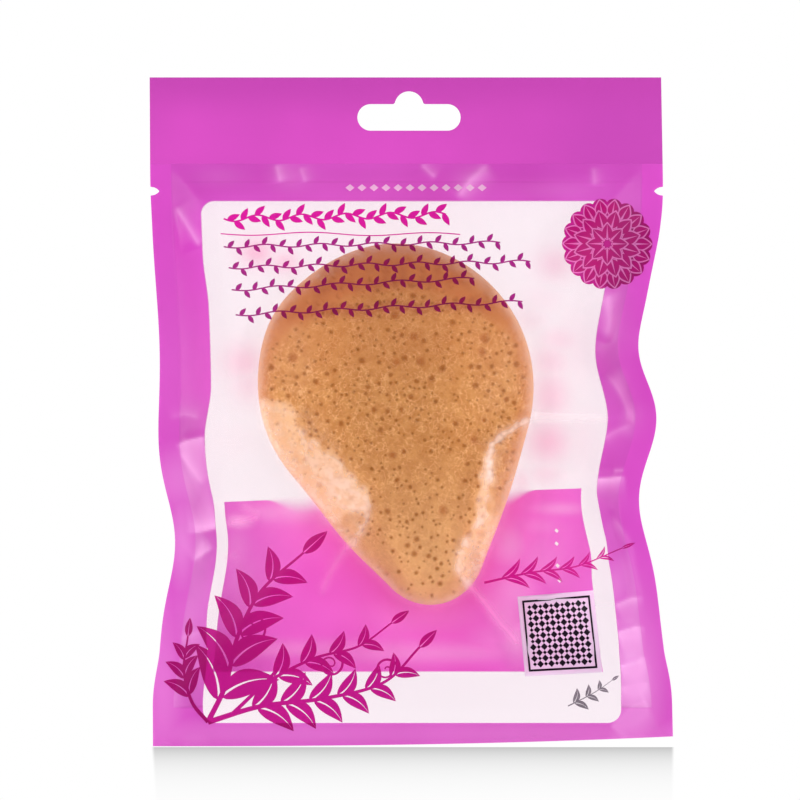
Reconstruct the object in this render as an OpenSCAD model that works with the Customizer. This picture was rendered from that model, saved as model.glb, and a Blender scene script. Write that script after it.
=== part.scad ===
// A teardrop konjac sponge in its heat-sealed hang pouch.
// The origin is the centre of the hang hole's slot, +Z is up and -Y is the front.

/* [Bag] */
// Height of the whole bag, header included
bag_h = 204; // [195:1:215]
// Width of the bag at its top edge
bag_top_w = 156; // [150:1:164]
// Width of the bag at its bottom edge
bag_bottom_w = 158.6; // [150:0.2:166]
// How far the top edge's middle lies to the left of the hang hole
top_shift = 1.1; // [0:0.1:3]
// How far the bottom edge's middle lies to the right of the hang hole
bottom_shift = 1.2; // [0:0.1:3]
// How far the right bottom corner is drawn up
bottom_rise = 3; // [0:0.5:5]
// Thickness of one film
film_t = 0.15; // [0.1:0.01:0.2]

/* [Seals] */
// Height of the header, where the two films are welded all over
header_h = 26.6; // [22:0.2:32]
// Width of each side seal
side_seal_w = 6.5; // [5:0.5:9]
// Height of the bottom seal
bottom_seal_h = 12; // [8:0.5:15]
// Bare film left between the header weld and the pouch, where the header folds
fold_gap = 0.5; // [0.4:0.05:0.8]

/* [Hang hole] */
// Width of the slot
slot_w = 31.5; // [28:0.5:34]
// Height of the slot
slot_h = 8.1; // [7:0.1:9]
// Radius of the round hump over the slot
hump_r = 4.4; // [3.5:0.1:5]
// How far the hump rises over the slot
hump_rise = 3.9; // [3:0.1:4.5]
// Radius of the small fillets between hump and slot
hump_fillet = 0.8; // [0.4:0.1:1]
// From the bag's top edge down to the slot's centre
slot_drop = 12.2; // [11:0.1:14]

/* [Tear notches] */
// How deep each notch cuts into the side seal
notch_depth = 2.7; // [1.5:0.1:3.5]
// Height of each notch at the edge
notch_h = 2.7; // [1.5:0.1:3]
// From the header weld down to the notches
notch_drop = 8.1; // [6:0.1:12]

/* [Sponge] */
// Radius of the round end
lobe_r = 41.5; // [38:0.5:44]
// Radius of the narrow end
tip_r = 15.3; // [12:0.5:19]
// Distance between the centres of the two ends
lobe_gap = 51.9; // [46:0.5:56]
// How far the front swells from the rim
front_swell = 15.5; // [12:0.5:17]
// How far the back swells from the rim
back_swell = 14.5; // [12:0.5:17]
// Share of the swell that is left at the narrow end
tip_swell_share = 0.86; // [0.6:0.02:1]
// Lean of the narrow end to the right, in degrees
sponge_lean = 11.9; // [0:0.5:16]
// From the header weld down to the centre of the round end
sponge_drop = 67; // [62:0.5:70]
// How far the round end's centre lies to the left of the hang hole
sponge_shift = 4.1; // [0:0.1:8]

/* [Play] */
// How far the sponge can slip up in the pouch
play_up = 8; // [2:0.5:10]
// How far the sponge can slip down in the pouch
play_down = 4; // [2:0.5:6]
// Clearance between sponge and film
film_clearance = 0.5; // [0.4:0.05:1]

/* [Hidden] */
$fn = 64;

film_colour = [0.85, 0.30, 0.74];
window_colour = [0.96, 0.90, 0.94];
sponge_colour = [0.79, 0.55, 0.34];

overrun = 1; // how far a cut runs past the faces that it opens

// Heights
top_z = slot_drop;
weld_z = top_z - header_h;
bottom_z = top_z - bag_h;
seal_z = bottom_z + bottom_seal_h;
pouch_top_z = weld_z - fold_gap / 2;
header_bottom_z = weld_z + fold_gap / 2;
body_h = weld_z - bottom_z;

// The bulge draws the side edges in. Each dent is [how far down the pouch its middle lies,
// its depth as a share of the bag's width, its spread as a share of the pouch's height].
left_dent_shares = [[0.34, 0.017, 0.13], [0.645, 0.041, 0.08], [0.82, 0.012, 0.1]];
right_dent_shares = [[0.21, 0.024, 0.065], [0.325, 0.047, 0.06], [0.57, 0.053, 0.08],
                     [0.75, 0.02, 0.1]];
// Where an edge is drawn in it also waves: forwards if the share is negative. The lists are as above.
left_wave_shares = [[0.50, -0.016, 0.07], [0.645, 0.019, 0.07], [0.775, -0.013, 0.07]];
right_wave_shares = [[0.302, 0.019, 0.055], [0.437, -0.025, 0.055], [0.578, 0.019, 0.055],
                     [0.72, -0.013, 0.07]];
wave_reach_share = 0.19; // how far in from an edge its wave runs, of the bag's width
fade_share = 0.10; // how soon dents and waves start below the weld and over the bottom seal
rise_power = 2.5; // how late along the bottom edge the rise starts

// Profile of the sponge from its spine, 0, to its rim, 1
rim_power = 2.4;

// Mesh counts
side_steps = 24;
end_steps = 14;
film_rings = 13;
tangent_steps = 40;
play_steps = 4;
sponge_rings = 11;
lobe_steps = 24;
flank_steps = 5;
tip_steps = 14;
seal_columns = 3;

function mix(a, b, t) = a + (b - a) * t;
function smooth(t) = let (c = min(1, max(0, t))) c * c * (3 - 2 * c);
function sum_of(list) = [for (x = list) 1] * list;
function bell(x, middle, spread) = exp(-pow((x - middle) / spread, 2) / 2);

// How far down the pouch a height lies, from 0 at the weld to 1 at the bottom edge
function down_share(z) = (weld_z - z) / body_h;
function fade(z) = smooth((weld_z - z) / (fade_share * body_h))
                   * smooth((z - seal_z) / (fade_share * body_h));
function bells(z, shares) = sum_of([for (s = shares) s[1] * bag_top_w * bell(down_share(z), s[0], s[2])]);

function middle_x(z) = mix(-top_shift, bottom_shift, (top_z - z) / bag_h);
function half_w(z) = mix(bag_top_w, bag_bottom_w, (top_z - z) / bag_h) / 2;
function left_x(z) = middle_x(z) - half_w(z) + bells(z, left_dent_shares) * fade(z);
function right_x(z) = middle_x(z) + half_w(z) - bells(z, right_dent_shares) * fade(z);
function bottom_edge_z(x) = let (t = (x - left_x(bottom_z)) / (right_x(bottom_z) - left_x(bottom_z)))
    bottom_z + bottom_rise * pow(max(0, t), rise_power);

// Depth of the surface half way between the films
function wave_reach(distance) = pow(max(0, 1 - distance / (wave_reach_share * bag_top_w)), 2);
function middle_y(x, z) = fade(z) * (bells(z, left_wave_shares) * wave_reach(x - left_x(z))
                                     + bells(z, right_wave_shares) * wave_reach(right_x(z) - x));

// The sponge's outline is two circles and their common tangents. Its own axes are across and down
// the spine, which runs from the centre of the round end, [0, 0], to that of the narrow end.
flank_sin = (lobe_r - tip_r) / lobe_gap;
flank_cos = sqrt(1 - flank_sin * flank_sin);
flank_angle = asin(flank_sin);
sponge_x = -sponge_shift;
sponge_z = weld_z - sponge_drop;

function to_sponge(x, z) = let (dx = x - sponge_x, dz = sponge_z - z)
    [dx * cos(sponge_lean) - dz * sin(sponge_lean), dx * sin(sponge_lean) + dz * cos(sponge_lean)];
function from_sponge(p) = [sponge_x + p[0] * cos(sponge_lean) + p[1] * sin(sponge_lean),
                           sponge_z + p[0] * sin(sponge_lean) - p[1] * cos(sponge_lean)];

// Place of a point between spine and rim: [0 at the spine to 1 at the rim, distance down the spine]
function spine_place(p, grow) = let (
        across = abs(p[0]),
        along_flank = -flank_sin * across + flank_cos * p[1],
        down = p[1] - across * flank_sin / flank_cos
    ) along_flank < 0 ? [norm(p) / (lobe_r + grow), 0]
    : along_flank > flank_cos * lobe_gap ? [norm(p - [0, lobe_gap]) / (tip_r + grow), lobe_gap]
    : [across / flank_cos / (lobe_r + grow - flank_sin * down), down];

// Swell at a point, as a share of the full swell
function swell_share(p, grow) = let (place = spine_place(p, grow))
    place[0] >= 1 ? 0
    : mix(1, tip_swell_share, smooth(place[1] / lobe_gap)) * sqrt(1 - pow(place[0], rim_power));

// Room that the slipping sponge needs on one side of the rim
function room_at(x, z, swell) = max([for (i = [0:play_steps])
    let (slip = mix(-play_down, play_up, i / play_steps),
         share = swell_share(to_sponge(x, z - slip), film_clearance))
    share > 0 ? swell * share + film_clearance : 0]);

// Inner edge of the seals, clockwise as the front shows it, starting at the left top corner
function seal_left(z) = left_x(z) + side_seal_w;
function seal_right(z) = right_x(z) - side_seal_w;
side_zs = [for (i = [0:side_steps]) mix(pouch_top_z, seal_z, i / side_steps)];
frame_points = concat(
    [for (i = [0:side_steps - 1]) [seal_left(side_zs[i]), side_zs[i]]],
    [for (i = [0:end_steps - 1]) [mix(seal_left(seal_z), seal_right(seal_z), i / end_steps), seal_z]],
    [for (i = [side_steps:-1:1]) [seal_right(side_zs[i]), side_zs[i]]],
    [for (i = [end_steps:-1:1])
        [mix(seal_left(pouch_top_z), seal_right(pouch_top_z), i / end_steps), pouch_top_z]]);
frame_count = len(frame_points);
film_centre = from_sponge([0, lobe_gap / 3]);

// A taut film runs straight from the seal to the place where it touches the sponge's room.
// For one ray that is [slope of the straight part, distance of the touch from the centre].
function touch_of(reach, way, swell) = let (
        tries = [for (i = [0:tangent_steps - 1])
            let (r = reach * i / tangent_steps, at = film_centre + way * r)
            [room_at(at[0], at[1], swell) / (reach - r), r]],
        steepest = max([for (t = tries) t[0]])
    ) [for (t = tries) if (t[0] == steepest) t][0];

function film_gap(r, reach, way, touch, swell) = let (at = film_centre + way * r)
    r < touch[1] ? room_at(at[0], at[1], swell) : touch[0] * (reach - r);

// All points of one film on the side that faces the sponge: the centre, then the rings outwards
function film_points(swell) = concat(
    [[film_centre[0], room_at(film_centre[0], film_centre[1], swell), film_centre[1]]],
    [for (ring = [1:film_rings]) for (j = [0:frame_count - 1])
        let (reach = norm(frame_points[j] - film_centre),
             way = (frame_points[j] - film_centre) / reach,
             r = reach * ring / film_rings,
             at = film_centre + way * r)
        [at[0], ring == film_rings ? 0 : film_gap(r, reach, way, touches(swell)[j], swell), at[1]]]);
function touches(swell) = swell == front_swell ? front_touches : back_touches;
front_touches = [for (p = frame_points)
    touch_of(norm(p - film_centre), (p - film_centre) / norm(p - film_centre), front_swell)];
back_touches = front_swell == back_swell ? front_touches : [for (p = frame_points)
    touch_of(norm(p - film_centre), (p - film_centre) / norm(p - film_centre), back_swell)];

// Triangles of a fan and its rings, where the centre is point `first`
function fan(first, count, flip) = [for (j = [0:count - 1])
    let (a = first + 1 + j, b = first + 1 + (j + 1) % count) flip ? [first, b, a] : [first, a, b]];
function ring_strip(inner, outer, count, flip) = [for (j = [0:count - 1]) let (k = (j + 1) % count)
    each flip ? [[inner + j, inner + k, outer + k], [inner + j, outer + k, outer + j]]
              : [[inner + j, outer + k, inner + k], [inner + j, outer + j, outer + k]]];

// One film: `side` is -1 for the front and 1 for the back
module film(side, swell) {
    gaps = film_points(swell);
    count = len(gaps);
    inside = [for (p = gaps) [p[0], middle_y(p[0], p[2]) + side * p[1], p[2]]];
    outside = [for (p = inside) p + [0, side * film_t, 0]];
    turned = side < 0;
    faces = concat(
        fan(0, frame_count, turned),
        [for (r = [1:film_rings - 1]) each ring_strip(1 + (r - 1) * frame_count, 1 + r * frame_count,
                                                      frame_count, turned)],
        fan(count, frame_count, !turned),
        [for (r = [1:film_rings - 1]) each ring_strip(count + 1 + (r - 1) * frame_count,
                                                      count + 1 + r * frame_count,
                                                      frame_count, !turned)],
        ring_strip(1 + (film_rings - 1) * frame_count, count + 1 + (film_rings - 1) * frame_count,
                   frame_count, turned));
    polyhedron(concat(inside, outside), faces, convexity = 6);
}

module front_film() {
    color(window_colour) film(-1, front_swell);
}

module back_film() {
    color(window_colour) film(1, back_swell);
}

// Two films welded face to face along one side, waving with the pouch
module seal_strip(low_x, high_x) {
    columns = seal_columns + 1;
    rows = side_steps + 1;
    sheet = [for (z = side_zs) for (c = [0:seal_columns])
        let (x = mix(low_x(z), high_x(z), c / seal_columns)) [x, middle_y(x, z), z]];
    front = [for (p = sheet) p - [0, film_t, 0]];
    back = [for (p = sheet) p + [0, film_t, 0]];
    count = len(sheet);
    cells = [for (r = [0:rows - 2]) for (c = [0:columns - 2]) r * columns + c];
    rim = concat([for (c = [0:columns - 1]) c], [for (r = [1:rows - 1]) r * columns + columns - 1],
                 [for (c = [columns - 2:-1:0]) (rows - 1) * columns + c],
                 [for (r = [rows - 2:-1:1]) r * columns]);
    faces = concat(
        [for (a = cells) each [[a, a + 1, a + columns + 1], [a, a + columns + 1, a + columns]]],
        [for (a = cells) each [[count + a, count + a + columns + 1, count + a + 1],
                               [count + a, count + a + columns, count + a + columns + 1]]],
        [for (i = [0:len(rim) - 1]) let (a = rim[i], b = rim[(i + 1) % len(rim)])
            each [[a, count + b, b], [a, count + a, count + b]]]);
    polyhedron(concat(front, back), faces, convexity = 6);
}

// A pointed notch between two arcs, cut in from a side edge along +X
module notch(x) {
    arc_r = (notch_depth * notch_depth + notch_h * notch_h / 4) / notch_h;
    translate([x, 0, weld_z - notch_drop]) rotate([90, 0, 0])
        linear_extrude(2 * (film_t + overrun), center = true) intersection() {
            translate([0, arc_r - notch_h / 2]) circle(arc_r);
            translate([0, notch_h / 2 - arc_r]) circle(arc_r);
        }
}

module left_side_seal() {
    color(film_colour) difference() {
        seal_strip(function (z) left_x(z), function (z) seal_left(z));
        notch(left_x(weld_z - notch_drop));
    }
}

module right_side_seal() {
    color(film_colour) difference() {
        seal_strip(function (z) seal_right(z), function (z) right_x(z));
        notch(right_x(weld_z - notch_drop));
    }
}

// The bottom weld, cut off along a slightly rising edge
module bottom_seal() {
    steps = 2 * end_steps;
    low_left = left_x(bottom_z);
    low_right = right_x(bottom_z);
    edge = [for (i = [0:steps]) let (x = mix(low_left, low_right, i / steps)) [x, bottom_edge_z(x)]];
    color(film_colour) rotate([90, 0, 0]) linear_extrude(2 * film_t, center = true)
        polygon(concat(edge, [[right_x(seal_z), seal_z], [left_x(seal_z), seal_z]]));
}

// Hang hole: a slot with round ends and a filleted hump in the middle
module hang_hole() {
    end_x = (slot_w - slot_h) / 2;
    hump_z = slot_h / 2 + hump_rise - hump_r;
    fillet_z = slot_h / 2 + hump_fillet;
    fillet_x = sqrt(pow(hump_r + hump_fillet, 2) - pow(fillet_z - hump_z, 2));
    square([2 * end_x, slot_h], center = true);
    for (x = [-end_x, end_x]) translate([x, 0]) circle(slot_h / 2);
    translate([0, hump_z]) circle(hump_r);
    difference() {
        translate([-fillet_x, 0]) square([2 * fillet_x, fillet_z]);
        for (x = [-fillet_x, fillet_x]) translate([x, fillet_z]) circle(hump_fillet);
    }
}

module header_panel() {
    color(film_colour) rotate([90, 0, 0]) linear_extrude(2 * film_t, center = true) difference() {
        polygon([[left_x(header_bottom_z), header_bottom_z], [right_x(header_bottom_z), header_bottom_z],
                 [right_x(top_z), top_z], [left_x(top_z), top_z]]);
        hang_hole();
    }
}

// Rim of the sponge in its own axes: round end, one flank, narrow end, the other flank
rim_points = concat(
    [for (i = [0:lobe_steps]) let (a = mix(-flank_angle, 180 + flank_angle, i / lobe_steps))
        lobe_r * [cos(a), -sin(a)]],
    [for (i = [1:flank_steps]) mix([-lobe_r * flank_cos, lobe_r * flank_sin],
        [-tip_r * flank_cos, lobe_gap + tip_r * flank_sin], i / flank_steps)],
    [for (i = [1:tip_steps]) let (a = mix(180 + flank_angle, 360 - flank_angle, i / tip_steps))
        [0, lobe_gap] + tip_r * [cos(a), -sin(a)]],
    [for (i = [1:flank_steps - 1]) mix([tip_r * flank_cos, lobe_gap + tip_r * flank_sin],
        [lobe_r * flank_cos, lobe_r * flank_sin], i / flank_steps)]);

module konjac_sponge() {
    count = len(rim_points);
    centre = [0, lobe_gap / 3];
    spread = [for (r = [1:sponge_rings]) for (p = rim_points)
        mix(centre, p, sin(90 * r / sponge_rings))];
    dome = concat([centre], [for (i = [0:len(spread) - count - 1]) spread[i]]);
    function place(p, depth) = let (at = from_sponge(p)) [at[0], depth, at[1]];
    front = [for (p = dome) place(p, -front_swell * swell_share(p, 0))];
    back = [for (p = dome) place(p, back_swell * swell_share(p, 0))];
    rim = [for (p = rim_points) place(p, 0)];
    back_start = len(front);
    rim_start = back_start + len(back);
    last_ring = 1 + (sponge_rings - 2) * count;
    color(sponge_colour) polyhedron(concat(front, back, rim), concat(
        fan(0, count, false),
        [for (r = [1:sponge_rings - 2]) each ring_strip(1 + (r - 1) * count, 1 + r * count, count, false)],
        ring_strip(last_ring, rim_start, count, false),
        fan(back_start, count, true),
        [for (r = [1:sponge_rings - 2]) each ring_strip(back_start + 1 + (r - 1) * count,
                                                        back_start + 1 + r * count, count, true)],
        ring_strip(back_start + last_ring, rim_start, count, true)), convexity = 4);
}

header_panel();
front_film();
back_film();
left_side_seal();
right_side_seal();
bottom_seal();
konjac_sponge();
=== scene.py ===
"""A teardrop konjac sponge sealed in a printed film pouch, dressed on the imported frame."""
import math

import bpy
import numpy as np
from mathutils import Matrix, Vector
from mathutils.geometry import delaunay_2d_cdt

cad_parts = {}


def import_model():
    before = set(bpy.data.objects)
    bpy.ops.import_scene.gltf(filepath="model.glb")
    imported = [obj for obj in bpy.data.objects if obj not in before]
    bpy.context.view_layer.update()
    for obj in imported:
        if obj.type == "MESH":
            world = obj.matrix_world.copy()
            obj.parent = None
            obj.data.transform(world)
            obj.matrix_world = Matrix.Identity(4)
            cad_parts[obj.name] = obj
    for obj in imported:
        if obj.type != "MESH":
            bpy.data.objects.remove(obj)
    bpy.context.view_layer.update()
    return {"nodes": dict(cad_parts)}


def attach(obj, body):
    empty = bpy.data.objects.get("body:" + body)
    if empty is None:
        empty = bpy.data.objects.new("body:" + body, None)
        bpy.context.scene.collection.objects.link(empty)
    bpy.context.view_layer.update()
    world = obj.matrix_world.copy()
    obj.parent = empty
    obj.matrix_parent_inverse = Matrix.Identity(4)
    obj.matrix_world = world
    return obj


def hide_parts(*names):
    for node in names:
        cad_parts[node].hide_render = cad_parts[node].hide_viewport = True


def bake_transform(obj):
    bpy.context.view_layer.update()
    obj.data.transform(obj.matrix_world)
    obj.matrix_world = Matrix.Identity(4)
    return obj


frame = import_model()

# Units: lengths are millimetres in this script and metres in Blender
MM = 0.001

# The photograph: millimetres per pixel, and the pixel of the hang slot's centre, the origin
PIXEL = 0.305
SLOT_PX = (409, 117.4)
PHOTO_SIDE = 800

# The bag, as in the CAD model
BAG_H = 204
BAG_TOP_W = 156
BAG_BOTTOM_W = 158.6
TOP_SHIFT = 1.1
BOTTOM_SHIFT = 1.2
BOTTOM_RISE = 3
RISE_POWER = 2.5
FILM_T = 0.15
SIDE_SEAL_W = 6.5
BOTTOM_SEAL_H = 12
NOTCH_DEPTH = 2.7
NOTCH_H = 2.7
NOTCH_DROP = 8.1
FOLD_GAP = 0.5
TOP_Z = 12.2
WELD_Z = -14.4
BOTTOM_Z = TOP_Z - BAG_H
SEAL_Z = BOTTOM_Z + BOTTOM_SEAL_H
FOLD_Z = WELD_Z + FOLD_GAP / 2
POUCH_TOP_Z = WELD_Z - FOLD_GAP / 2
BODY_H = WELD_Z - BOTTOM_Z
FADE_SHARE = 0.10
WAVE_REACH_SHARE = 0.19
LEFT_DENTS = [(0.34, 0.017, 0.13), (0.645, 0.041, 0.08), (0.82, 0.012, 0.1)]
RIGHT_DENTS = [(0.21, 0.024, 0.065), (0.325, 0.047, 0.06), (0.57, 0.053, 0.08), (0.75, 0.02, 0.1)]
LEFT_WAVES = [(0.50, -0.016, 0.07), (0.645, 0.019, 0.07), (0.775, -0.013, 0.07)]
RIGHT_WAVES = [(0.302, 0.019, 0.055), (0.437, -0.025, 0.055), (0.578, 0.019, 0.055), (0.72, -0.013, 0.07)]

# The sponge, as in the CAD model
LOBE_R = 41.5
TIP_R = 15.3
LOBE_GAP = 51.9
FRONT_SWELL = 15.5
BACK_SWELL = 14.5
TIP_SWELL_SHARE = 0.86
LEAN = math.radians(11.9)
SPONGE_X = -4.1
SPONGE_Z = WELD_Z - 67
RIM_POWER = 2.4
PLAY_UP = 8
PLAY_DOWN = 4
CLEARANCE = 0.5

# The print, in flat film: across from the left edge, and up from the bottom edge
FLAT_W = 157
BAND_LEFT = 15.2
BAND_RIGHT = 16.1
WINDOW_TOP = -25.5 - BOTTOM_Z
WINDOW_BOTTOM = -184.7 - BOTTOM_Z
WINDOW_CORNER = 4.2
PANEL_LEFT = 18.2
PANEL_RIGHT = 137
PANEL_TOP_LEFT = -117.3 - BOTTOM_Z
PANEL_TOP_RIGHT = -113.2 - BOTTOM_Z
PANEL_BOTTOM = -169.2 - BOTTOM_Z


def srgb(red, green, blue):
    """A colour written as in an image editor, 0 to 255, for a shader."""
    shares = [c / 255 for c in (red, green, blue)]
    return tuple(s / 12.92 if s <= 0.04045 else ((s + 0.055) / 1.055) ** 2.4 for s in shares) + (1,)


# Colours, 0 to 255 as in an image editor
WHITE = (1, 1, 1, 1)
HEADER_DEEP = srgb(182, 54, 164)
HEADER_LIGHT = srgb(195, 60, 175)
# Painted shade on the header, towards its top edge and its right end
HEADER_TOP_SHADE = srgb(174, 48, 157)
HEADER_RIGHT_SHADE = srgb(176, 51, 161)
FRAME_DEEP = srgb(202, 66, 187)
FRAME_LIGHT = srgb(219, 91, 207)
SEAL_INK = srgb(226, 87, 211)
# Painted shade on the frame's left band, from the window's top down to its middle
BAND_SHADE = srgb(216, 60, 200)
# Painted light and highlights on the magenta of the front film
FRAME_PAINTED_GLOW = srgb(255, 190, 247)
PANEL_DEEP = srgb(234, 76, 206)
PANEL_LIGHT = srgb(251, 114, 230)
# Painted shade, with warm light from the sponge, on the panel near it; painted shade at its left edge; painted
# highlights on it
PANEL_SPONGE_SHADE = srgb(250, 86, 188)
PANEL_EDGE_SHADE = srgb(216, 84, 202)
PANEL_HIGHLIGHT = srgb(255, 178, 238)
MILK = srgb(254, 247, 250)
# Painted bounce light in the milky front film: cream from the foam, pink from the panel
FOAM_BOUNCE_CREAM = srgb(255, 243, 240)
PANEL_BOUNCE_BLUSH = srgb(255, 168, 228)
CLOUD = srgb(255, 168, 208)
CLEAR_TINT = srgb(253, 248, 251)
EDGE_TINT = srgb(228, 196, 214)
FOAM_DEEP = srgb(199, 141, 79)
FOAM_LIGHT = srgb(211, 156, 91)
FOAM_CELL = srgb(178, 116, 54)
FOAM_SPECK = srgb(236, 186, 126)
# Painted orange glow along the foam's rim, and painted light where the foam is pale
FOAM_RIM_GLOW = srgb(205, 131, 76)
FOAM_PAINTED_LIGHT = srgb(244, 199, 142)
# Painted shade on the hazy top of the foam
FOAM_HAZE_SHADE = srgb(194, 122, 70)
FOAM_PORE = srgb(140, 82, 16)
FOAM_PORE_RED = srgb(160, 86, 32)

# Printed film: how much light comes through, roughness, refraction in front, behind and on the film, cover
THROUGH_SHARE = 0.45
PRINT_ROUGHNESS = 0.32
PRINT_IOR = 1.42
BACK_IOR = 1.22
DECAL_IOR = 1.3
PRINT_COVER = 0.97
# How softly the seals' tone begins, in millimetres
SEAL_SOFT = 0.3

# Spacing of the meshes' points in millimetres: the films, and the foam's front and back
FRONT_STEP = 0.55
BACK_STEP = 0.9
FOAM_FRONT_STEP = 0.38
FOAM_BACK_STEP = 0.64
# Rows of points over the tear notches and over the bottom seal, and columns over a side seal
NOTCH_ROWS = 25
BOTTOM_ROWS = 17
SEAL_COLUMNS = 9
# Points round the foam's rim, its closing rings, where they begin, from the spine, 0, to the rim, 1, how far
# the inner points keep off them, and the spacing of the points on them in millimetres
RIM_POINTS = 720
RINGS = 9
RINGS_START = 0.94
RINGS_MARGIN = 0.012
RING_STEP = 0.41

# The film's straight runs: slipped places of the sponge, rays round it, places tried along each ray, the share
# of the ray where the last of them lies, and the halvings that find a ray's end within a span in millimetres
SLIPS = 9
FILM_RAYS = 1440
FILM_TRIES = 90
LAST_TRY = 0.985
HALVINGS = 30
SPAN = 300

# The film's relief: passes that round its kinks, and length and height of its broad and fine waves
BLUR_PASSES = 16
BROAD_WAVE = (36, 0.35)
FINE_WAVE = (9, 0.05)

# The foam's surface: length and height of its lumps, how far it lies below the CAD dome, and how deep its
# pores are in shares of their radius
LUMP_LENGTH = 6
LUMP_HEIGHT = 0.12
FOAM_SINK = 0.12
PORE_DEPTH = 0.5

# How milky the front film is on the sponge, how much more away from it and along its rim, the least and the most
VEIL_ON_SPONGE = 0.006
VEIL_BESIDE = 0.012
VEIL_RIM = 0.17
VEIL_LIMITS = (0.005, 0.7)


# Small mathematics

def mix(a, b, t):
    return a + (b - a) * t


def smooth(t):
    c = np.clip(t, 0, 1)
    return c * c * (3 - 2 * c)


def bell(x, middle, spread):
    return np.exp(-((x - middle) / spread) ** 2 / 2)


def at_px(px, py):
    """The place in the frame, x and z in millimetres, of a pixel of the photograph."""
    return (px - SLOT_PX[0]) * PIXEL, (SLOT_PX[1] - py) * PIXEL


# The bag's outline and the surface half way between its films, as in the CAD model

def down_share(z):
    return (WELD_Z - z) / BODY_H


def fade(z):
    return smooth((WELD_Z - z) / (FADE_SHARE * BODY_H)) * smooth((z - SEAL_Z) / (FADE_SHARE * BODY_H))


def bells(z, shares):
    return sum(depth * BAG_TOP_W * bell(down_share(z), middle, spread) for middle, depth, spread in shares)


def middle_x(z):
    return mix(-TOP_SHIFT, BOTTOM_SHIFT, (TOP_Z - z) / BAG_H)


def half_w(z):
    return mix(BAG_TOP_W, BAG_BOTTOM_W, (TOP_Z - z) / BAG_H) / 2


def left_x(z):
    return middle_x(z) - half_w(z) + bells(z, LEFT_DENTS) * fade(z)


def right_x(z):
    return middle_x(z) + half_w(z) - bells(z, RIGHT_DENTS) * fade(z)


def bottom_edge_z(x):
    t = (x - left_x(BOTTOM_Z)) / (right_x(BOTTOM_Z) - left_x(BOTTOM_Z))
    return BOTTOM_Z + BOTTOM_RISE * np.clip(t, 0, 1) ** RISE_POWER


def wave_reach(distance):
    return np.clip(1 - distance / (WAVE_REACH_SHARE * BAG_TOP_W), 0, 1) ** 2


def middle_y(x, z):
    return fade(z) * (bells(z, LEFT_WAVES) * wave_reach(x - left_x(z))
                      + bells(z, RIGHT_WAVES) * wave_reach(right_x(z) - x))


def notch_cut(z):
    """How deep the tear notches cut into both side edges at a height."""
    arc_r = (NOTCH_DEPTH ** 2 + NOTCH_H ** 2 / 4) / NOTCH_H
    rise = np.abs(z - (WELD_Z - NOTCH_DROP)) + arc_r - NOTCH_H / 2
    return np.sqrt(np.clip(arc_r ** 2 - rise ** 2, 0, None))


# The sponge's form, as in the CAD model

FLANK_SIN = (LOBE_R - TIP_R) / LOBE_GAP
FLANK_COS = math.sqrt(1 - FLANK_SIN ** 2)


def to_sponge(x, z):
    dx, dz = x - SPONGE_X, SPONGE_Z - z
    return dx * math.cos(LEAN) - dz * math.sin(LEAN), dx * math.sin(LEAN) + dz * math.cos(LEAN)


def from_sponge(across, down):
    return (SPONGE_X + across * math.cos(LEAN) + down * math.sin(LEAN),
            SPONGE_Z + across * math.sin(LEAN) - down * math.cos(LEAN))


def spine_place(x, z, grow):
    """From the spine, 0, to the rim, 1, and the distance down the spine."""
    across, down = to_sponge(x, z)
    across = np.abs(across)
    along = -FLANK_SIN * across + FLANK_COS * down
    foot = down - across * FLANK_SIN / FLANK_COS
    flank = across / FLANK_COS / np.maximum(LOBE_R + grow - FLANK_SIN * foot, 1)
    place = np.where(along < 0, np.hypot(across, down) / (LOBE_R + grow), flank)
    place = np.where(along > FLANK_COS * LOBE_GAP,
                     np.hypot(across, down - LOBE_GAP) / (TIP_R + grow), place)
    return place, np.clip(np.where(along < 0, 0, foot), 0, LOBE_GAP)


def swell_share(x, z, grow=0.0):
    place, foot = spine_place(x, z, grow)
    inside = np.sqrt(np.clip(1 - np.clip(place, 0, 1) ** RIM_POWER, 0, 1))
    return mix(1, TIP_SWELL_SHARE, smooth(foot / LOBE_GAP)) * inside


def room_at(x, z, swell):
    """Room that the slipping sponge needs on one side of the bag's middle surface."""
    room = np.zeros_like(x)
    for slip in np.linspace(-PLAY_DOWN, PLAY_UP, SLIPS):
        share = swell_share(x, z - slip, CLEARANCE)
        room = np.maximum(room, np.where(share > 0, swell * share + CLEARANCE, 0))
    return room


# A film: straight from the seals to the sponge's room, then over it

def seal_left(z):
    return left_x(z) + SIDE_SEAL_W


def seal_right(z):
    return right_x(z) - SIDE_SEAL_W


def reach_of(cx, cz, way_x, way_z):
    """How far rays from a centre run before they meet the inner edge of the seals."""
    low, high = np.zeros_like(way_x), np.full_like(way_x, SPAN)
    for _ in range(HALVINGS):
        middle = (low + high) / 2
        x, z = cx + way_x * middle, cz + way_z * middle
        z_in = np.clip(z, BOTTOM_Z, TOP_Z)
        inside = (z < POUCH_TOP_Z) & (z > SEAL_Z) & (x > seal_left(z_in)) & (x < seal_right(z_in))
        low, high = np.where(inside, middle, low), np.where(inside, high, middle)
    return low


def taut_gap(x, z, swell):
    """Distance of a taut film from the middle surface, on a grid of places."""
    cx, cz = from_sponge(0, LOBE_GAP / 3)
    angle = np.linspace(-math.pi, math.pi, FILM_RAYS, endpoint=False)
    way_x, way_z = np.cos(angle), np.sin(angle)
    reach = reach_of(cx, cz, way_x, way_z)
    share = np.linspace(0, LAST_TRY, FILM_TRIES)[:, None]
    r = share * reach
    room = room_at(cx + way_x * r, cz + way_z * r, swell)
    slope = room / (reach - r)
    best = slope.argmax(axis=0)
    steepest, touch = slope.max(axis=0), np.take_along_axis(r, best[None], 0)[0]
    distance = np.hypot(x - cx, z - cz)
    here = np.arctan2(z - cz, x - cx)

    def around(values):
        return np.interp(here, np.r_[angle, math.pi], np.r_[values, values[0]])

    edge = around(reach)
    straight = around(steepest) * np.maximum(edge - distance, 0)
    return np.where(distance < around(touch), room_at(x, z, swell), straight)


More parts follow.
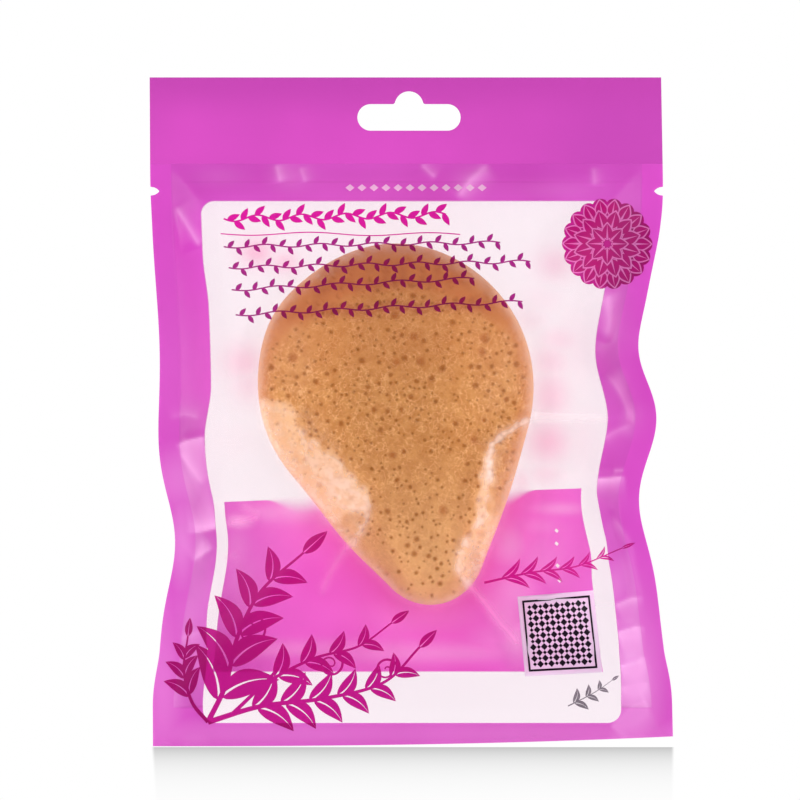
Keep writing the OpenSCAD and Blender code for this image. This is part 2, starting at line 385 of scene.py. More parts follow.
def path_distance(x, z, points):
    """Distance to a path, its sign on the path's left, and the share of the path's length there."""
    pts = np.array(points, float)
    lengths = np.hypot(*np.diff(pts, axis=0).T)
    starts = np.r_[0, np.cumsum(lengths)]
    nearest = np.full(x.shape, 1e9)
    side = np.ones(x.shape)
    along = np.zeros(x.shape)
    for (ax, az), (bx, bz), length, start in zip(pts[:-1], pts[1:], lengths, starts):
        t = np.clip(((x - ax) * (bx - ax) + (z - az) * (bz - az)) / length ** 2, 0, 1)
        gone = np.hypot(x - ax - t * (bx - ax), z - az - t * (bz - az))
        closer = gone < nearest
        turn = (bx - ax) * (z - az) - (bz - az) * (x - ax)
        nearest = np.where(closer, gone, nearest)
        side = np.where(closer, np.sign(turn), side)
        along = np.where(closer, (start + t * length) / starts[-1], along)
    return nearest, side, along


def rounded_path(points, step):
    """A smooth path through a few points, as a Catmull-Rom curve."""
    pts = np.array(points, float)
    if len(pts) < 3:
        return pts
    ends = np.vstack([2 * pts[0] - pts[1], pts, 2 * pts[-1] - pts[-2]])
    out = []
    for p0, p1, p2, p3 in zip(ends[:-3], ends[1:-2], ends[2:-1], ends[3:]):
        count = max(2, int(np.hypot(*(p2 - p1)) / step))
        for t in np.linspace(0, 1, count, endpoint=False):
            out.append(0.5 * (2 * p1 + (p2 - p0) * t + (2 * p0 - 5 * p1 + 4 * p2 - p3) * t ** 2
                              + (3 * p1 - p0 - 3 * p2 + p3) * t ** 3))
    out.append(pts[-1])
    return np.array(out)


def photo_path(pixels):
    return rounded_path([at_px(*p) for p in pixels], step=2.0)


def in_box(x, z, path, margin):
    """Which places lie in the box round a path, with a margin."""
    (low_x, low_z), (high_x, high_z) = path.min(axis=0) - margin, path.max(axis=0) + margin
    return (x > low_x) & (x < high_x) & (z > low_z) & (z < high_z)


def along_path(path, share):
    """The places at shares of the way along a path, and the lengths from its start to its points."""
    lengths = np.r_[0, np.cumsum(np.hypot(*np.diff(path, axis=0).T))]
    at = share * lengths[-1]
    return np.c_[np.interp(at, lengths, path[:, 0]), np.interp(at, lengths, path[:, 1])], lengths


def crease(x, z, pixels, left, right, ends, sharp=0.8):
    """A crease along pixels of the photograph, 1 on its line, with its falls to both sides in millimetres.

    Left and right are those of someone who walks along the path, as it is seen from the front.
    """
    path = photo_path(pixels)
    near = in_box(x, z, path, 7 * max(left, right) + 1)
    distance, side, along = path_distance(x[near], z[near], path)
    width = np.where(side > 0, left, right)
    fall = np.exp(-(np.sqrt(distance ** 2 + sharp ** 2) - sharp) / width)
    out = np.zeros(x.shape)
    out[near] = fall * smooth(along / ends) * smooth((1 - along) / ends)
    return out


def patch(x, z, pixels, soft, uneven):
    """1 inside a patch given by pixels of the photograph, down to 0 over a soft, uneven edge in millimetres."""
    loop = photo_path(pixels + pixels[:1])
    near = in_box(x, z, loop, soft)
    px, pz = x[near], z[near]
    inside = np.zeros(px.shape, bool)
    for (ax, az), (bx, bz) in zip(loop[:-1], loop[1:]):
        if az != bz:
            inside ^= ((az > pz) != (bz > pz)) & (px < ax + (pz - az) * (bx - ax) / (bz - az))
    distance = path_distance(px, pz, loop)[0]
    out = np.zeros(x.shape)
    distance = np.where(inside, distance, -distance) + uneven * wavy(px, pz, 4.5, 61)
    out[near] = smooth(distance / soft + 0.5)
    return out


# Creases of the front film: pixels, height, widths to the left and right of the way it runs, all in
# millimetres, and share of its length that fades at each end
FRONT_CREASES = [
    ([(655, 421), (590, 418), (534, 416), (517, 426), (499, 438), (491, 450)], 1.2, 1.6, 5, 0.08),
    ([(493, 444), (490, 462), (488, 492), (484, 520), (474, 543), (461, 562), (466, 583)], 1.5, 2.4, 5, 0.08),
    ([(458, 562), (464, 578), (476, 591), (494, 620), (520, 654)], 0.9, 3.5, 1.3, 0.12),
    ([(264, 399), (291, 404), (303, 436), (336, 457), (358, 481), (369, 503)], 1.0, 1.8, 8, 0.12),
    ([(348, 470), (368, 493), (369, 507), (358, 535), (346, 546), (326, 581)], 1.2, 1.4, 5, 0.12),
    ([(226, 648), (300, 643), (400, 645), (510, 651), (600, 640)], 0.8, 4, 2.0, 0.2),
    ([(276, 163), (280, 184)], 0.6, 1.4, 1.8, 0.2),
    ([(300, 166), (305, 183)], 0.4, 1.2, 1.6, 0.2),
    ([(423, 164), (436, 178)], 0.5, 1.4, 1.8, 0.2),
    ([(492, 163), (468, 183), (455, 202)], 0.9, 1.6, 2.4, 0.2),
    ([(593, 165), (594, 188)], 0.5, 1.8, 2.2, 0.2),
    ([(175, 205), (188, 226), (201, 248)], 0.9, 1.6, 3.0, 0.2),
    ([(176, 446), (190, 440), (208, 438)], 1.0, 1.4, 4.0, 0.2),
    ([(180, 470), (192, 528)], 0.8, 3.0, 2.0, 0.2),
    ([(188, 531), (222, 524), (262, 519)], 0.8, 3.5, 1.0, 0.15),
    ([(206, 506), (226, 512), (246, 510), (262, 505)], 0.5, 1.6, 2.4, 0.2),
    ([(190, 560), (215, 548)], 0.6, 2.5, 1.2, 0.3),
    ([(178, 640), (204, 632)], 0.6, 2.0, 2.5, 0.3),
    ([(592, 479), (628, 477)], 0.9, 1.0, 4.0, 0.2),
    ([(608, 508), (629, 541), (634, 566), (643, 606)], 0.8, 1.6, 3.5, 0.15),
    ([(612, 607), (628, 600), (645, 597)], 0.7, 1.0, 2.2, 0.2),
    ([(613, 635), (631, 629), (646, 628)], 0.9, 1.0, 3.0, 0.2),
    ([(616, 668), (632, 664), (648, 657)], 0.8, 1.0, 2.4, 0.2),
    ([(611, 728), (628, 712), (648, 700)], 0.9, 1.2, 3.5, 0.15),
    ([(600, 288), (610, 318), (606, 344)], 0.8, 3.0, 2.0, 0.2),
    ([(600, 372), (618, 392), (634, 430)], 0.8, 2.5, 1.6, 0.2),
    ([(508, 600), (520, 570), (546, 541), (556, 520)], 0.4, 2.4, 1.2, 0.3),
    ([(420, 640), (470, 664), (520, 672)], 0.4, 3.0, 2.0, 0.3),
]


def wavy(x, z, length, seed):
    """A smooth random relief between about -1 and 1, from a few waves of one length."""
    count = 7
    dice = np.random.default_rng(seed)
    total = np.zeros_like(x)
    for _ in range(count):
        turn, phase = dice.uniform(0, math.tau, 2)
        size = length * dice.uniform(0.75, 1.35)
        total += np.cos(math.tau * (x * math.cos(turn) + z * math.sin(turn)) / size + phase)
    return total / count * 1.4


def blurred(grid, passes):
    """A grid of heights with its kinks rounded off, edges kept."""
    g = grid.copy()
    for _ in range(passes):
        p = np.pad(g, 1, mode="edge")
        g = (p[:-2, 1:-1] + p[2:, 1:-1] + p[1:-1, :-2] + p[1:-1, 2:] + 4 * p[1:-1, 1:-1]) / 8
    return g


def film_grid(step):
    """Rows and columns of places over a film, from the header weld to the bottom edge."""
    notch_top, notch_low = WELD_Z - NOTCH_DROP + NOTCH_H, WELD_Z - NOTCH_DROP - NOTCH_H
    rows = np.concatenate([
        np.arange(FOLD_Z, notch_top, -step), np.linspace(notch_top, notch_low, NOTCH_ROWS),
        np.arange(notch_low - step, SEAL_Z, -step), np.linspace(SEAL_Z, BOTTOM_Z, BOTTOM_ROWS)])
    seal = np.linspace(0, 1, SEAL_COLUMNS)
    inner = np.linspace(0, 1, int((FLAT_W - 2 * SIDE_SEAL_W) / step))[1:-1]
    z = np.repeat(rows[:, None], 2 * len(seal) + len(inner), axis=1)
    outer_left, outer_right = left_x(rows) + notch_cut(rows), right_x(rows) - notch_cut(rows)
    inner_left, inner_right = seal_left(rows), seal_right(rows)
    x = np.concatenate([mix(outer_left[:, None], inner_left[:, None], seal),
                        mix(inner_left[:, None], inner_right[:, None], inner),
                        mix(inner_right[:, None], outer_right[:, None], seal)], axis=1)
    z = z + np.clip((SEAL_Z - z) / BOTTOM_SEAL_H, 0, 1) * (bottom_edge_z(x) - BOTTOM_Z)
    notch = np.clip(notch_cut(rows), 0, NOTCH_DEPTH)[:, None] * (1 - seal)
    flat_inner = mix(SIDE_SEAL_W, FLAT_W - SIDE_SEAL_W, inner)
    across = np.concatenate([SIDE_SEAL_W * seal + notch, np.tile(flat_inner, (len(rows), 1)),
                             FLAT_W - SIDE_SEAL_W + SIDE_SEAL_W * seal - notch[:, ::-1]], axis=1)
    return x, z, across


def inside_pouch(x, z):
    """1 inside the pouch, down to 0 at the seals over 3 mm."""
    near = np.minimum(np.minimum(x - seal_left(z), seal_right(z) - x),
                      np.minimum(POUCH_TOP_Z - z, z - SEAL_Z))
    return smooth(near / 3.0)


class Film:
    """One film of the pouch on a grid of places: its distance from the bag's middle and its depth, y."""

    def __init__(self, side, swell, step):
        self.side, self.swell = side, swell
        self.x, self.z, self.across = film_grid(step)
        self.middle = middle_y(self.x, self.z)
        self.gap = self.gap_from_middle()
        self.y = self.middle + side * (self.gap + FILM_T)

    def gap_from_middle(self):
        x, z = self.x, self.z
        room = room_at(x, z, self.swell)
        gap = blurred(taut_gap(x, z, self.swell), BLUR_PASSES)
        free = inside_pouch(x, z)
        if self.side < 0:
            for pixels, height, left, right, ends in FRONT_CREASES:
                gap = gap + free * height * crease(x, z, pixels, left, right, ends)
        stand = smooth((gap - room - 0.3) / 3)
        (broad_length, broad_height), (fine_length, fine_height) = BROAD_WAVE, FINE_WAVE
        broad = wavy(x, z, broad_length, 3 - self.side) + 0.7
        fine = wavy(x, z, fine_length, 8 - self.side)
        gap = gap + free * (broad_height * stand * broad + fine_height * fine)
        return blurred(np.where(free > 0, gap, 0), 1)

    def depth_at(self, x, z):
        """The film's y at other places, between its grid points."""
        rows = self.z[:, 0]
        r = np.clip(np.interp(-z, -rows, np.arange(len(rows))), 0, len(rows) - 1.001)
        first = r.astype(int)

        def in_row(row):
            out = np.empty(len(x))
            for k in np.unique(row):
                here = row == k
                out[here] = np.interp(x[here], self.x[k], self.y[k])
            return out

        return mix(in_row(first), in_row(first + 1), r - first)


FRONT = Film(-1, FRONT_SWELL, FRONT_STEP)
BACK = Film(1, BACK_SWELL, BACK_STEP)


# Mesh helpers

def new_object(name, data):
    """A new object in the scene."""
    obj = bpy.data.objects.new(name, data)
    bpy.context.scene.collection.objects.link(obj)
    return obj


def mesh_object(name, points_mm, faces, material, smooth_faces=True):
    mesh = bpy.data.meshes.new(name)
    mesh.from_pydata((np.asarray(points_mm) * MM).tolist(), [], faces)
    mesh.update()
    obj = new_object(name, mesh)
    mesh.materials.append(material)
    if smooth_faces:
        mesh.shade_smooth()
    return obj


def set_uv(mesh, u, v):
    layer = mesh.uv_layers.new(name="flat")
    index = np.empty(len(mesh.loops), int)
    mesh.loops.foreach_get("vertex_index", index)
    layer.data.foreach_set("uv", np.c_[u[index], v[index]].astype(np.float32).ravel())


def set_value(mesh, name, values):
    layer = mesh.attributes.new(name, "FLOAT", "POINT")
    layer.data.foreach_set("value", np.asarray(values, np.float32))


def grid_faces(rows, columns, flip):
    index = np.arange(rows * columns).reshape(rows, columns)
    a, b, c, d = index[:-1, :-1], index[:-1, 1:], index[1:, 1:], index[1:, :-1]
    order = (a, b, c, d) if flip else (a, d, c, b)
    return np.stack([o.ravel() for o in order], axis=1).tolist()


# Shader helpers

class Value:
    """A number or a colour that a shader works out. The signs of arithmetic add nodes to the shader."""

    def __init__(self, shader, socket):
        self.shader, self.socket = shader, socket

    def __add__(self, other):
        return self.shader.math("ADD", self, other)

    def __sub__(self, other):
        return self.shader.math("SUBTRACT", self, other)

    def __rsub__(self, other):
        return self.shader.math("SUBTRACT", other, self)

    def __mul__(self, other):
        return self.shader.math("MULTIPLY", self, other)

    def __truediv__(self, other):
        return self.shader.math("DIVIDE", self, other)

    def __abs__(self):
        return self.shader.math("ABSOLUTE", self)


class Shader:
    """The node tree of a material or of the world, built with short calls."""

    def __init__(self, owner, output="OutputMaterial"):
        owner.use_nodes = True
        self.owner, self.nodes, self.links = owner, owner.node_tree.nodes, owner.node_tree.links
        self.nodes.clear()
        self.output = self.node(output)
        self.coordinates = self.node("TexCoord").outputs

    def node(self, kind, values=None, **settings):
        """A node with settings, and values or sockets put into its inputs."""
        node = self.nodes.new("ShaderNode" + kind)
        for key, value in settings.items():
            setattr(node, key, value)
        for key, value in (values or {}).items():
            value = value.socket if isinstance(value, Value) else value
            if isinstance(value, bpy.types.NodeSocket):
                self.links.new(value, node.inputs[key])
            else:
                node.inputs[key].default_value = value
        return node

    def out(self, kind, values=None, output=0, **settings):
        """One output of a new node."""
        return Value(self, self.node(kind, values, **settings).outputs[output])

    def math(self, operation, a, b=0.0):
        return self.out("Math", {0: a, 1: b, 2: 0.0}, operation=operation)

    def larger(self, a, b):
        return self.math("MAXIMUM", a, b)

    def smaller(self, a, b):
        return self.math("MINIMUM", a, b)

    def ramp(self, value, low, high, to_low=0.0, to_high=1.0, kind="SMOOTHSTEP"):
        return self.out("MapRange", {"Value": value, "From Min": low, "From Max": high, "To Min": to_low,
                                     "To Max": to_high}, "Result", interpolation_type=kind)

    def edge(self, value, at, soft):
        """From 0 below an edge to 1 above it, or the other way round where the softness is negative."""
        return self.ramp(value, at - soft, at + soft)

    def blend(self, share, a, b):
        return self.out("Mix", {"Factor": share, 6: a, 7: b}, 2, data_type="RGBA")

    def layers(self, colour, *coats):
        """A colour under coats, each a share and a colour."""
        for share, coat in coats:
            colour = self.blend(share, colour, coat)
        return colour

    def mixed(self, share, a, b):
        return self.out("MixShader", {0: share, 1: a, 2: b})

    def noise(self, scale, detail):
        values = {"Vector": self.coordinates["Object"], "Scale": scale, "Detail": detail}
        return self.out("TexNoise", values, "Fac")

    def value(self, name):
        """An attribute of the mesh."""
        return self.out("Attribute", output="Fac", attribute_name=name)

    def split(self, vector):
        return [Value(self, socket) for socket in self.node("SeparateXYZ", {0: vector}).outputs]

    def finish(self, surface):
        self.links.new(surface.socket, self.output.inputs["Surface"])
        return self.owner


def new_material(name):
    return Shader(bpy.data.materials.new(name))


def rounded_box(s, across, up, left, right, low, high, corner):
    """Distance in millimetres to a rectangle with round corners, negative inside."""
    dx = abs(across - (left + right) / 2) - ((right - left) / 2 - corner)
    dz = abs(up - (low + high) / 2) - ((high - low) / 2 - corner)
    ox, oz = s.larger(dx, 0.0), s.larger(dz, 0.0)
    return s.math("SQRT", ox * ox + oz * oz) + s.smaller(s.larger(dx, dz), 0.0) - corner


def window_shift(s, across, up):
    """How far the window's side edges lie to the right of a plain rectangle's, in millimetres."""
    left = s.ramp(up, 94.0, 110.0, -0.8, 1.0) - s.ramp(up, 76.0, 66.0)
    left = left * s.ramp(up, 20.0, 44.0) * s.ramp(up, 150.0, 134.0)
    dip = s.ramp(abs(up - 100.0), 4.0, 26.0, 1.5, 0.0)
    bump = s.ramp(abs(up - 67.0), 3.0, 12.0, 0.9, 0.0)
    right = s.ramp(up, 12.0, 34.0, 0.6, 2.5) - dip + bump
    return left * s.ramp(across, 90.0, 60.0) + right * s.ramp(across, 60.0, 90.0)


def ink(s, deep, light):
    """Printed film colour, a little uneven over a few centimetres."""
    return s.blend(s.ramp(s.noise(18, 2.0), 0.3, 0.7), deep, light)


def coat(s, colour, ior):
    """Print with the fine frosted grain of the film."""
    grain = s.out("Bump", {"Strength": 0.12, "Distance": 0.0002, "Height": s.noise(900, 2.0)})
    return s.out("BsdfPrincipled", {"Base Color": colour, "Roughness": PRINT_ROUGHNESS, "IOR": ior, "Normal": grain})


def printed_skin(s, colour, ior):
    """Print on thin film: it also glows with the light from behind it."""
    return s.mixed(THROUGH_SHARE, coat(s, colour, ior), s.out("BsdfTranslucent", {"Color": colour}))


def back_panel(s, across, up):
    """The panel printed on the back film, below the sponge: its top edge is soft in the middle."""
    slope = (PANEL_TOP_RIGHT - PANEL_TOP_LEFT) / (PANEL_RIGHT - PANEL_LEFT)
    top = (across - PANEL_LEFT) * slope + PANEL_TOP_LEFT
    off_middle = abs(across - (PANEL_LEFT + PANEL_RIGHT) / 2)
    above = up + s.ramp(off_middle, 46, 34, 0.0, 1.6) - top
    left = across + s.ramp(up, 78.0, 68.0, 0.0, 1.1)
    right = across - s.ramp(up, 50.0, 60.0, 0.0, 1.2)
    return (s.edge(left, PANEL_LEFT, 0.15) * s.edge(right, PANEL_RIGHT, -0.15) * s.edge(up, PANEL_BOTTOM, 0.3)
            * s.edge(above / s.ramp(off_middle, 46, 36, 0.15, 3.4), 0, -1.0))


def flat_at(px, py):
    """Millimetres across and up the flat film, of a pixel of the photograph."""
    x, z = at_px(px, py)
    share = (x - seal_left(z)) / (seal_right(z) - seal_left(z))
    return mix(SIDE_SEAL_W, FLAT_W - SIDE_SEAL_W, share), z - BOTTOM_Z


# Small pale dots printed on the panel, as pixels
BACK_DOTS = [(557, 531), (557, 544), (558, 566), (560, 581)]


def panel_ink(s, across, up, glow):
    """The colour of the panel on the back film, with painted shade at its left edge and near the sponge, and painted
    highlights.
    """
    # Painted shade at the left edge and near the sponge, and painted highlights
    colour = s.layers(ink(s, PANEL_DEEP, PANEL_LIGHT),
                      (s.ramp(across, PANEL_LEFT + 26, PANEL_LEFT, 0.0, 0.8), PANEL_EDGE_SHADE),
                      (s.value("near"), PANEL_SPONGE_SHADE), (glow, PANEL_HIGHLIGHT))
    for pixel in BACK_DOTS:
        dot_across, dot_up = flat_at(*pixel)
        gone = abs(across - dot_across) + abs(up - dot_up)
        colour = s.blend(s.ramp(gone, 0.85, 0.55), colour, MILK)
    return colour


def see_through(s):
    """Bare film: clear from the front, and tinted and shiny where it is seen edge on."""
    edge_on = s.ramp(s.out("LayerWeight", {"Blend": 0.5}, "Facing"), 0.55, 1.0)
    clear = s.out("BsdfTransparent", {"Color": s.blend(edge_on, CLEAR_TINT, EDGE_TINT)})
    shine = s.out("BsdfGlossy", {"Color": s.blend(edge_on, WHITE, EDGE_TINT), "Roughness": 0.24})
    return s.mixed(s.out("Fresnel", {"IOR": 1.16}), clear, shine)


def film_shader(name, back=False):
    """Frosted film: a printed frame round a window that is clear where it lies on something."""
    s = new_material(name)
    u, v, _ = s.split(s.out("UVMap", uv_map="flat"))
    across, up = u * FLAT_W, v * BAG_H
    window = rounded_box(s, across - window_shift(s, across, up), up, BAND_LEFT, FLAT_W - BAND_RIGHT,
                         WINDOW_BOTTOM, WINDOW_TOP, WINDOW_CORNER)
    printed = s.edge(window, 0, 0.12)
    right_seal = FLAT_W - SIDE_SEAL_W
    seal = s.larger(s.ramp(across, SIDE_SEAL_W, SIDE_SEAL_W - SEAL_SOFT),
                    s.ramp(across, right_seal, right_seal + SEAL_SOFT))
    seal = s.larger(seal, s.ramp(up, BOTTOM_SEAL_H, BOTTOM_SEAL_H - SEAL_SOFT))
    # Painted shade: the left band is deeper from the window's top down to its middle
    left_band_shade = s.ramp(across, 30.0, 20.0) * s.ramp(up, 98.0, 110.0) * s.ramp(up, 168.0, 156.0) * (1.0 - seal)
    magenta = s.layers(ink(s, FRAME_DEEP, FRAME_LIGHT), (left_band_shade, BAND_SHADE), (seal * 0.6, SEAL_INK))
    glow = s.value("glow")
    if back:
        panel = back_panel(s, across, up)
        magenta = s.blend(panel, magenta, panel_ink(s, across, up, glow))
        printed = s.larger(printed, panel)
        cloud = s.value("cloud")
        milk = s.blend(cloud, MILK, CLOUD)
        veil = (s.ramp(cloud, 0.0, 1.0, 0.30, 0.6, kind="LINEAR") * s.ramp(up, 10.0, 60.0, 0.4, 1.0)
                * s.ramp(s.value("touch"), 0.0, 1.0, 1.0, 0.2))
    else:
        # Painted light and highlights make the front film's magenta paler
        magenta = s.blend(glow * (1.0 - seal * 0.4), magenta, FRAME_PAINTED_GLOW)
        warm = s.value("warm")
        # Painted bounce light: the milky film is cream over the foam and pink over the panel
        milk = s.layers(MILK, (warm, FOAM_BOUNCE_CREAM), (s.value("panel_bounce"), PANEL_BOUNCE_BLUSH))
        wisps = s.ramp(s.noise(440, 1.5), 0.3, 0.7, -0.36, 0.36) * warm
        veil = s.smaller(s.value("veil") * (wisps + 1.0), 0.9)
    alpha = s.ramp(printed, 0.0, 1.0, veil, PRINT_COVER, kind="LINEAR")
    skin = printed_skin(s, s.blend(printed, milk, magenta), BACK_IOR if back else PRINT_IOR)
    return s.finish(s.mixed(alpha, see_through(s), skin))


def header_shader():
    """The welded header, printed all over, with painted shade towards its top edge and its right end."""
    s = new_material("printed_header")
    x, _, z = s.split(s.coordinates["Object"])
    # Painted shade towards the header's right end and its top edge
    tone = s.layers(ink(s, HEADER_DEEP, HEADER_LIGHT), (s.ramp(x, 25 * MM, 60 * MM, 0.0, 0.9), HEADER_RIGHT_SHADE),
                    (s.ramp(z, -2 * MM, TOP_Z * MM), HEADER_TOP_SHADE))
    return s.finish(coat(s, tone, PRINT_IOR))


def foam_shader():
    """Damp konjac foam: crisp pores where the film lies on it, smooth and redder with painted shade where it is
    hazy, with painted light where it is pale and a painted glow along its rim.
    """
    s = new_material("konjac_foam")
    crisp = s.value("crisp")
    cells = {"Vector": s.coordinates["Object"], "Scale": 1000.0}
    fine = s.ramp(s.out("TexVoronoi", cells, "Distance"), 0.1, 0.55)
    mottle = s.noise(400, 2.5)
    strings = s.ramp(abs(s.noise(620, 1.0) - 0.5), 0.05, 0.0) * s.ramp(s.noise(230, 1.0), 0.35, 0.5)
    speck = s.larger(s.ramp(s.noise(900, 1.0), 0.57, 0.72) * 0.4, strings)
    dots = s.node("TexVoronoi", {"Vector": s.coordinates["Object"], "Scale": 560.0}).outputs
    size = s.ramp(s.split(dots["Color"])[0], 0.55, 1.0, 0.03, 0.26, kind="LINEAR")
    dot = s.ramp(s.math("DIVIDE", dots["Distance"], size), 1.0, 0.4)
    dark = s.larger(s.value("pore"), dot * 0.5)
    pore_tone = s.blend(s.value("ruddy"), FOAM_PORE, FOAM_PORE_RED)
    foam = s.layers(s.blend(s.ramp(mottle, 0.35, 0.65), FOAM_DEEP, FOAM_LIGHT),
                    ((1.0 - fine) * crisp * 0.26, FOAM_CELL), (s.ramp(s.noise(60, 2.0), 0.4, 0.7) * 0.2, FOAM_CELL),
                    # Painted orange glow along the rim, and painted light, a sheen and light from below, where it is
                    # pale
                    (s.value("rim"), FOAM_RIM_GLOW), (s.value("pale"), FOAM_PAINTED_LIGHT), (speck * crisp * 0.75, FOAM_SPECK),
                    # Painted shade where the foam is hazy
                    (s.value("haze_shade"), FOAM_HAZE_SHADE), (dark * s.ramp(crisp, 0.0, 1.0, 0.03, 0.92), pore_tone))
    bump = s.out("Bump", {"Strength": crisp * 0.35, "Distance": 0.0004, "Height": fine * 0.5 + mottle})
    return s.finish(s.out("BsdfPrincipled", {"Base Color": foam, "Roughness": 0.75, "IOR": 1.18, "Normal": bump}))


def print_shader(name, colour, cover):
    """Translucent ink: it tints what lies behind it."""
    s = new_material(name)
    deep = srgb(*(c * 0.86 for c in colour))
    skin = printed_skin(s, ink(s, deep, srgb(*colour)), DECAL_IOR)
    return s.finish(s.mixed(cover, s.out("BsdfTransparent", {"Color": srgb(*colour)}), skin))


# The films

def film_piece(name, film, material):
    rows, columns = film.x.shape
    points = np.c_[film.x.ravel(), film.y.ravel(), film.z.ravel()]
    obj = mesh_object(name, points, grid_faces(rows, columns, film.side > 0), material)
    set_uv(obj.data, (film.across / FLAT_W).ravel(), ((film.z - BOTTOM_Z) / BAG_H).ravel())
    return obj


# How far the rim of the soft foam stands past the plain teardrop all round, in millimetres
RIM_PAST = 0.45
# Where it bulges further: pixel, reach and height in millimetres
RIM_BULGES = [(395, 248, 14, 1.0), (274, 316, 9, 0.9), (352, 540, 12, 1.7), (502, 494, 16, 1.5),
              (430, 602, 9, 0.6)]


def rim_bulge(x, z):
    """How far the foam's rim stands past the plain teardrop, in millimetres."""
    total = np.full_like(x, RIM_PAST)
    for px, py, reach, height in RIM_BULGES:
        cx, cz = at_px(px, py)
        total += height * bell(np.hypot(x - cx, z - cz), 0, reach)
    return total


def beyond_sponge(x, z):
    """Distance in millimetres out from the foam's outline, negative inside."""
    across, down = to_sponge(x, z)
    across = np.abs(across)
    along = -FLANK_SIN * across + FLANK_COS * down
    flank = FLANK_COS * across + FLANK_SIN * down - LOBE_R
    outside = np.where(along < 0, np.hypot(across, down) - LOBE_R, flank)
    outside = np.where(along > FLANK_COS * LOBE_GAP, np.hypot(across, down - LOBE_GAP) - TIP_R, outside)
    return outside - rim_bulge(x, z)


def soft_spots(x, z, spots):
    """Soft places, with their strength in their middles: the strongest counts."""
    total = np.zeros_like(x)
    for px, py, wide, high, strength in spots:
        cx, cz = at_px(px, py)
        total = np.maximum(total, strength * np.exp(-((x - cx) / wide) ** 2 - ((z - cz) / high) ** 2))
    return np.clip(total, 0, 1)


# Milky patches of the front film, where it stands off the sponge, partly a painted sheen: pixels, softness
# of the edge in millimetres, and how milky
VEIL_AND_SHEEN_PATCHES = [
    ([(250, 403), (280, 402), (294, 409), (300, 422), (304, 436), (317, 443), (336, 457), (347, 469), (358, 481),
      (368, 493), (370, 505), (356, 513), (341, 516), (318, 530), (290, 504), (262, 470), (246, 436)], 2.6, 0.18),
    ([(300, 426), (317, 443), (336, 457), (347, 469), (358, 481), (368, 493), (369, 504), (352, 510), (334, 500),
      (318, 482), (304, 456)], 3.0, 0.13),
    ([(322, 466), (346, 478), (366, 494), (368, 503), (352, 508), (334, 496)], 3.0, 0.10),
    ([(356, 503), (371, 503), (367, 520), (354, 546), (337, 545), (328, 526)], 4.0, 0.09),
    ([(494, 448), (520, 440), (516, 480), (508, 522), (496, 545), (491, 500)], 3.0, 0.05),
    ([(298, 404), (318, 418), (338, 446), (350, 466), (340, 462), (318, 446), (304, 434)], 5.0, 0.06),
    ([(487, 450), (490, 446), (491, 470), (490, 490), (488, 512), (484, 522), (475, 528), (477, 505), (480, 490),
      (481, 470)], 1.5, 0.24),
    ([(476, 518), (488, 511), (494, 524), (496, 540), (492, 556), (482, 572), (470, 582), (460, 573), (457, 562),
      (460, 550), (465, 541), (471, 531)], 1.8, 0.17),
]
# Painted highlights as milky patches, given the same way, along creases in the window beside the sponge and below it
WINDOW_HIGHLIGHTS = [
    ([(534, 411), (604, 413), (606, 422), (560, 422), (533, 421)], 2.2, 0.30),
    ([(560, 472), (600, 470), (598, 484), (566, 482)], 2.4, 0.14),
    ([(226, 640), (330, 636), (470, 640), (516, 648), (470, 654), (330, 650), (226, 655)], 3.0, 0.08),
]

# Painted highlights, bright lines along creases of the front film: pixels, widths to the left and right of the way
# they run in millimetres, share that fades at each end, and how milky
HIGHLIGHT_LINES = [
    ([(532, 418), (526, 421), (517, 426), (507, 432), (499, 438), (493, 444), (490, 453), (489, 466), (490, 486)],
     0.6, 0.7, 0.1, 0.54),
    ([(471, 530), (464, 542), (459, 552), (457, 564), (460, 574), (470, 586), (483, 600), (497, 619), (513, 637),
      (523, 651)], 0.9, 0.8, 0.1, 0.32),
    ([(474, 590), (484, 602), (497, 619), (513, 637), (521, 648)], 6.0, 0.6, 0.2, 0.14),
    ([(368, 496), (369, 506), (366, 520), (359, 534), (348, 546), (336, 563), (326, 582), (320, 598)],
     0.8, 0.8, 0.12, 0.25),
    ([(224, 524), (244, 521), (264, 516)], 1.2, 0.5, 0.25, 0.34),
    ([(238, 505), (250, 508), (264, 515)], 0.6, 1.0, 0.25, 0.22),
    ([(222, 560), (240, 552)], 0.6, 1.2, 0.3, 0.16),
]

# Soft places, each a pixel, half width and half height in millimetres, and strength. Pink clouds in the
# window, where the print of the back film shines through
CLOUDS = [(256, 252, 6, 5, 1.0), (285, 262, 5, 4, 0.8), (245, 362, 8, 7, 0.8), (250, 384, 7, 7, 0.6),
          (560, 340, 8, 5, 0.6), (550, 362, 7, 7, 0.7), (550, 396, 7, 10, 0.85), (556, 264, 7, 6, 0.7),
          (548, 442, 8, 8, 1.0), (546, 474, 7, 5, 0.6), (578, 440, 8, 12, 0.35), (530, 320, 8, 5, 0.4),
          (236, 440, 8, 6, 0.15), (545, 300, 8, 6, 0.3), (575, 350, 9, 16, 0.35), (522, 482, 4, 5, 0.6)]

# Painted light: places where the magenta of the front film is pale with light from behind
FRAME_GLOWS = [(157, 640, 4, 22, 0.3), (179, 480, 8.5, 10, 0.65), (196, 560, 6, 22, 0.32), (186, 640, 8, 24, 0.36),
               (164, 690, 6, 30, 0.6), (182, 540, 4, 16, 0.75), (606, 310, 3, 8, 0.28), (620, 380, 3, 6, 0.2),
               (630, 420, 4, 5, 0.2), (618, 585, 4, 8, 0.3), (636, 690, 8, 26, 0.85), (300, 734, 80, 5, 0.6),
               (500, 734, 80, 5, 0.6), (560, 190, 14, 3, 0.1), (290, 176, 6, 4, 0.16), (220, 176, 8, 3, 0.10),
               (470, 180, 5, 4, 0.15), (616, 330, 6, 30, 0.14), (176, 380, 16, 30, 0.16), (204, 500, 5, 14, 0.30),
               (196, 738, 10, 4, 0.6), (622, 736, 8, 4, 0.7), (628, 722, 6, 6, 0.6)]
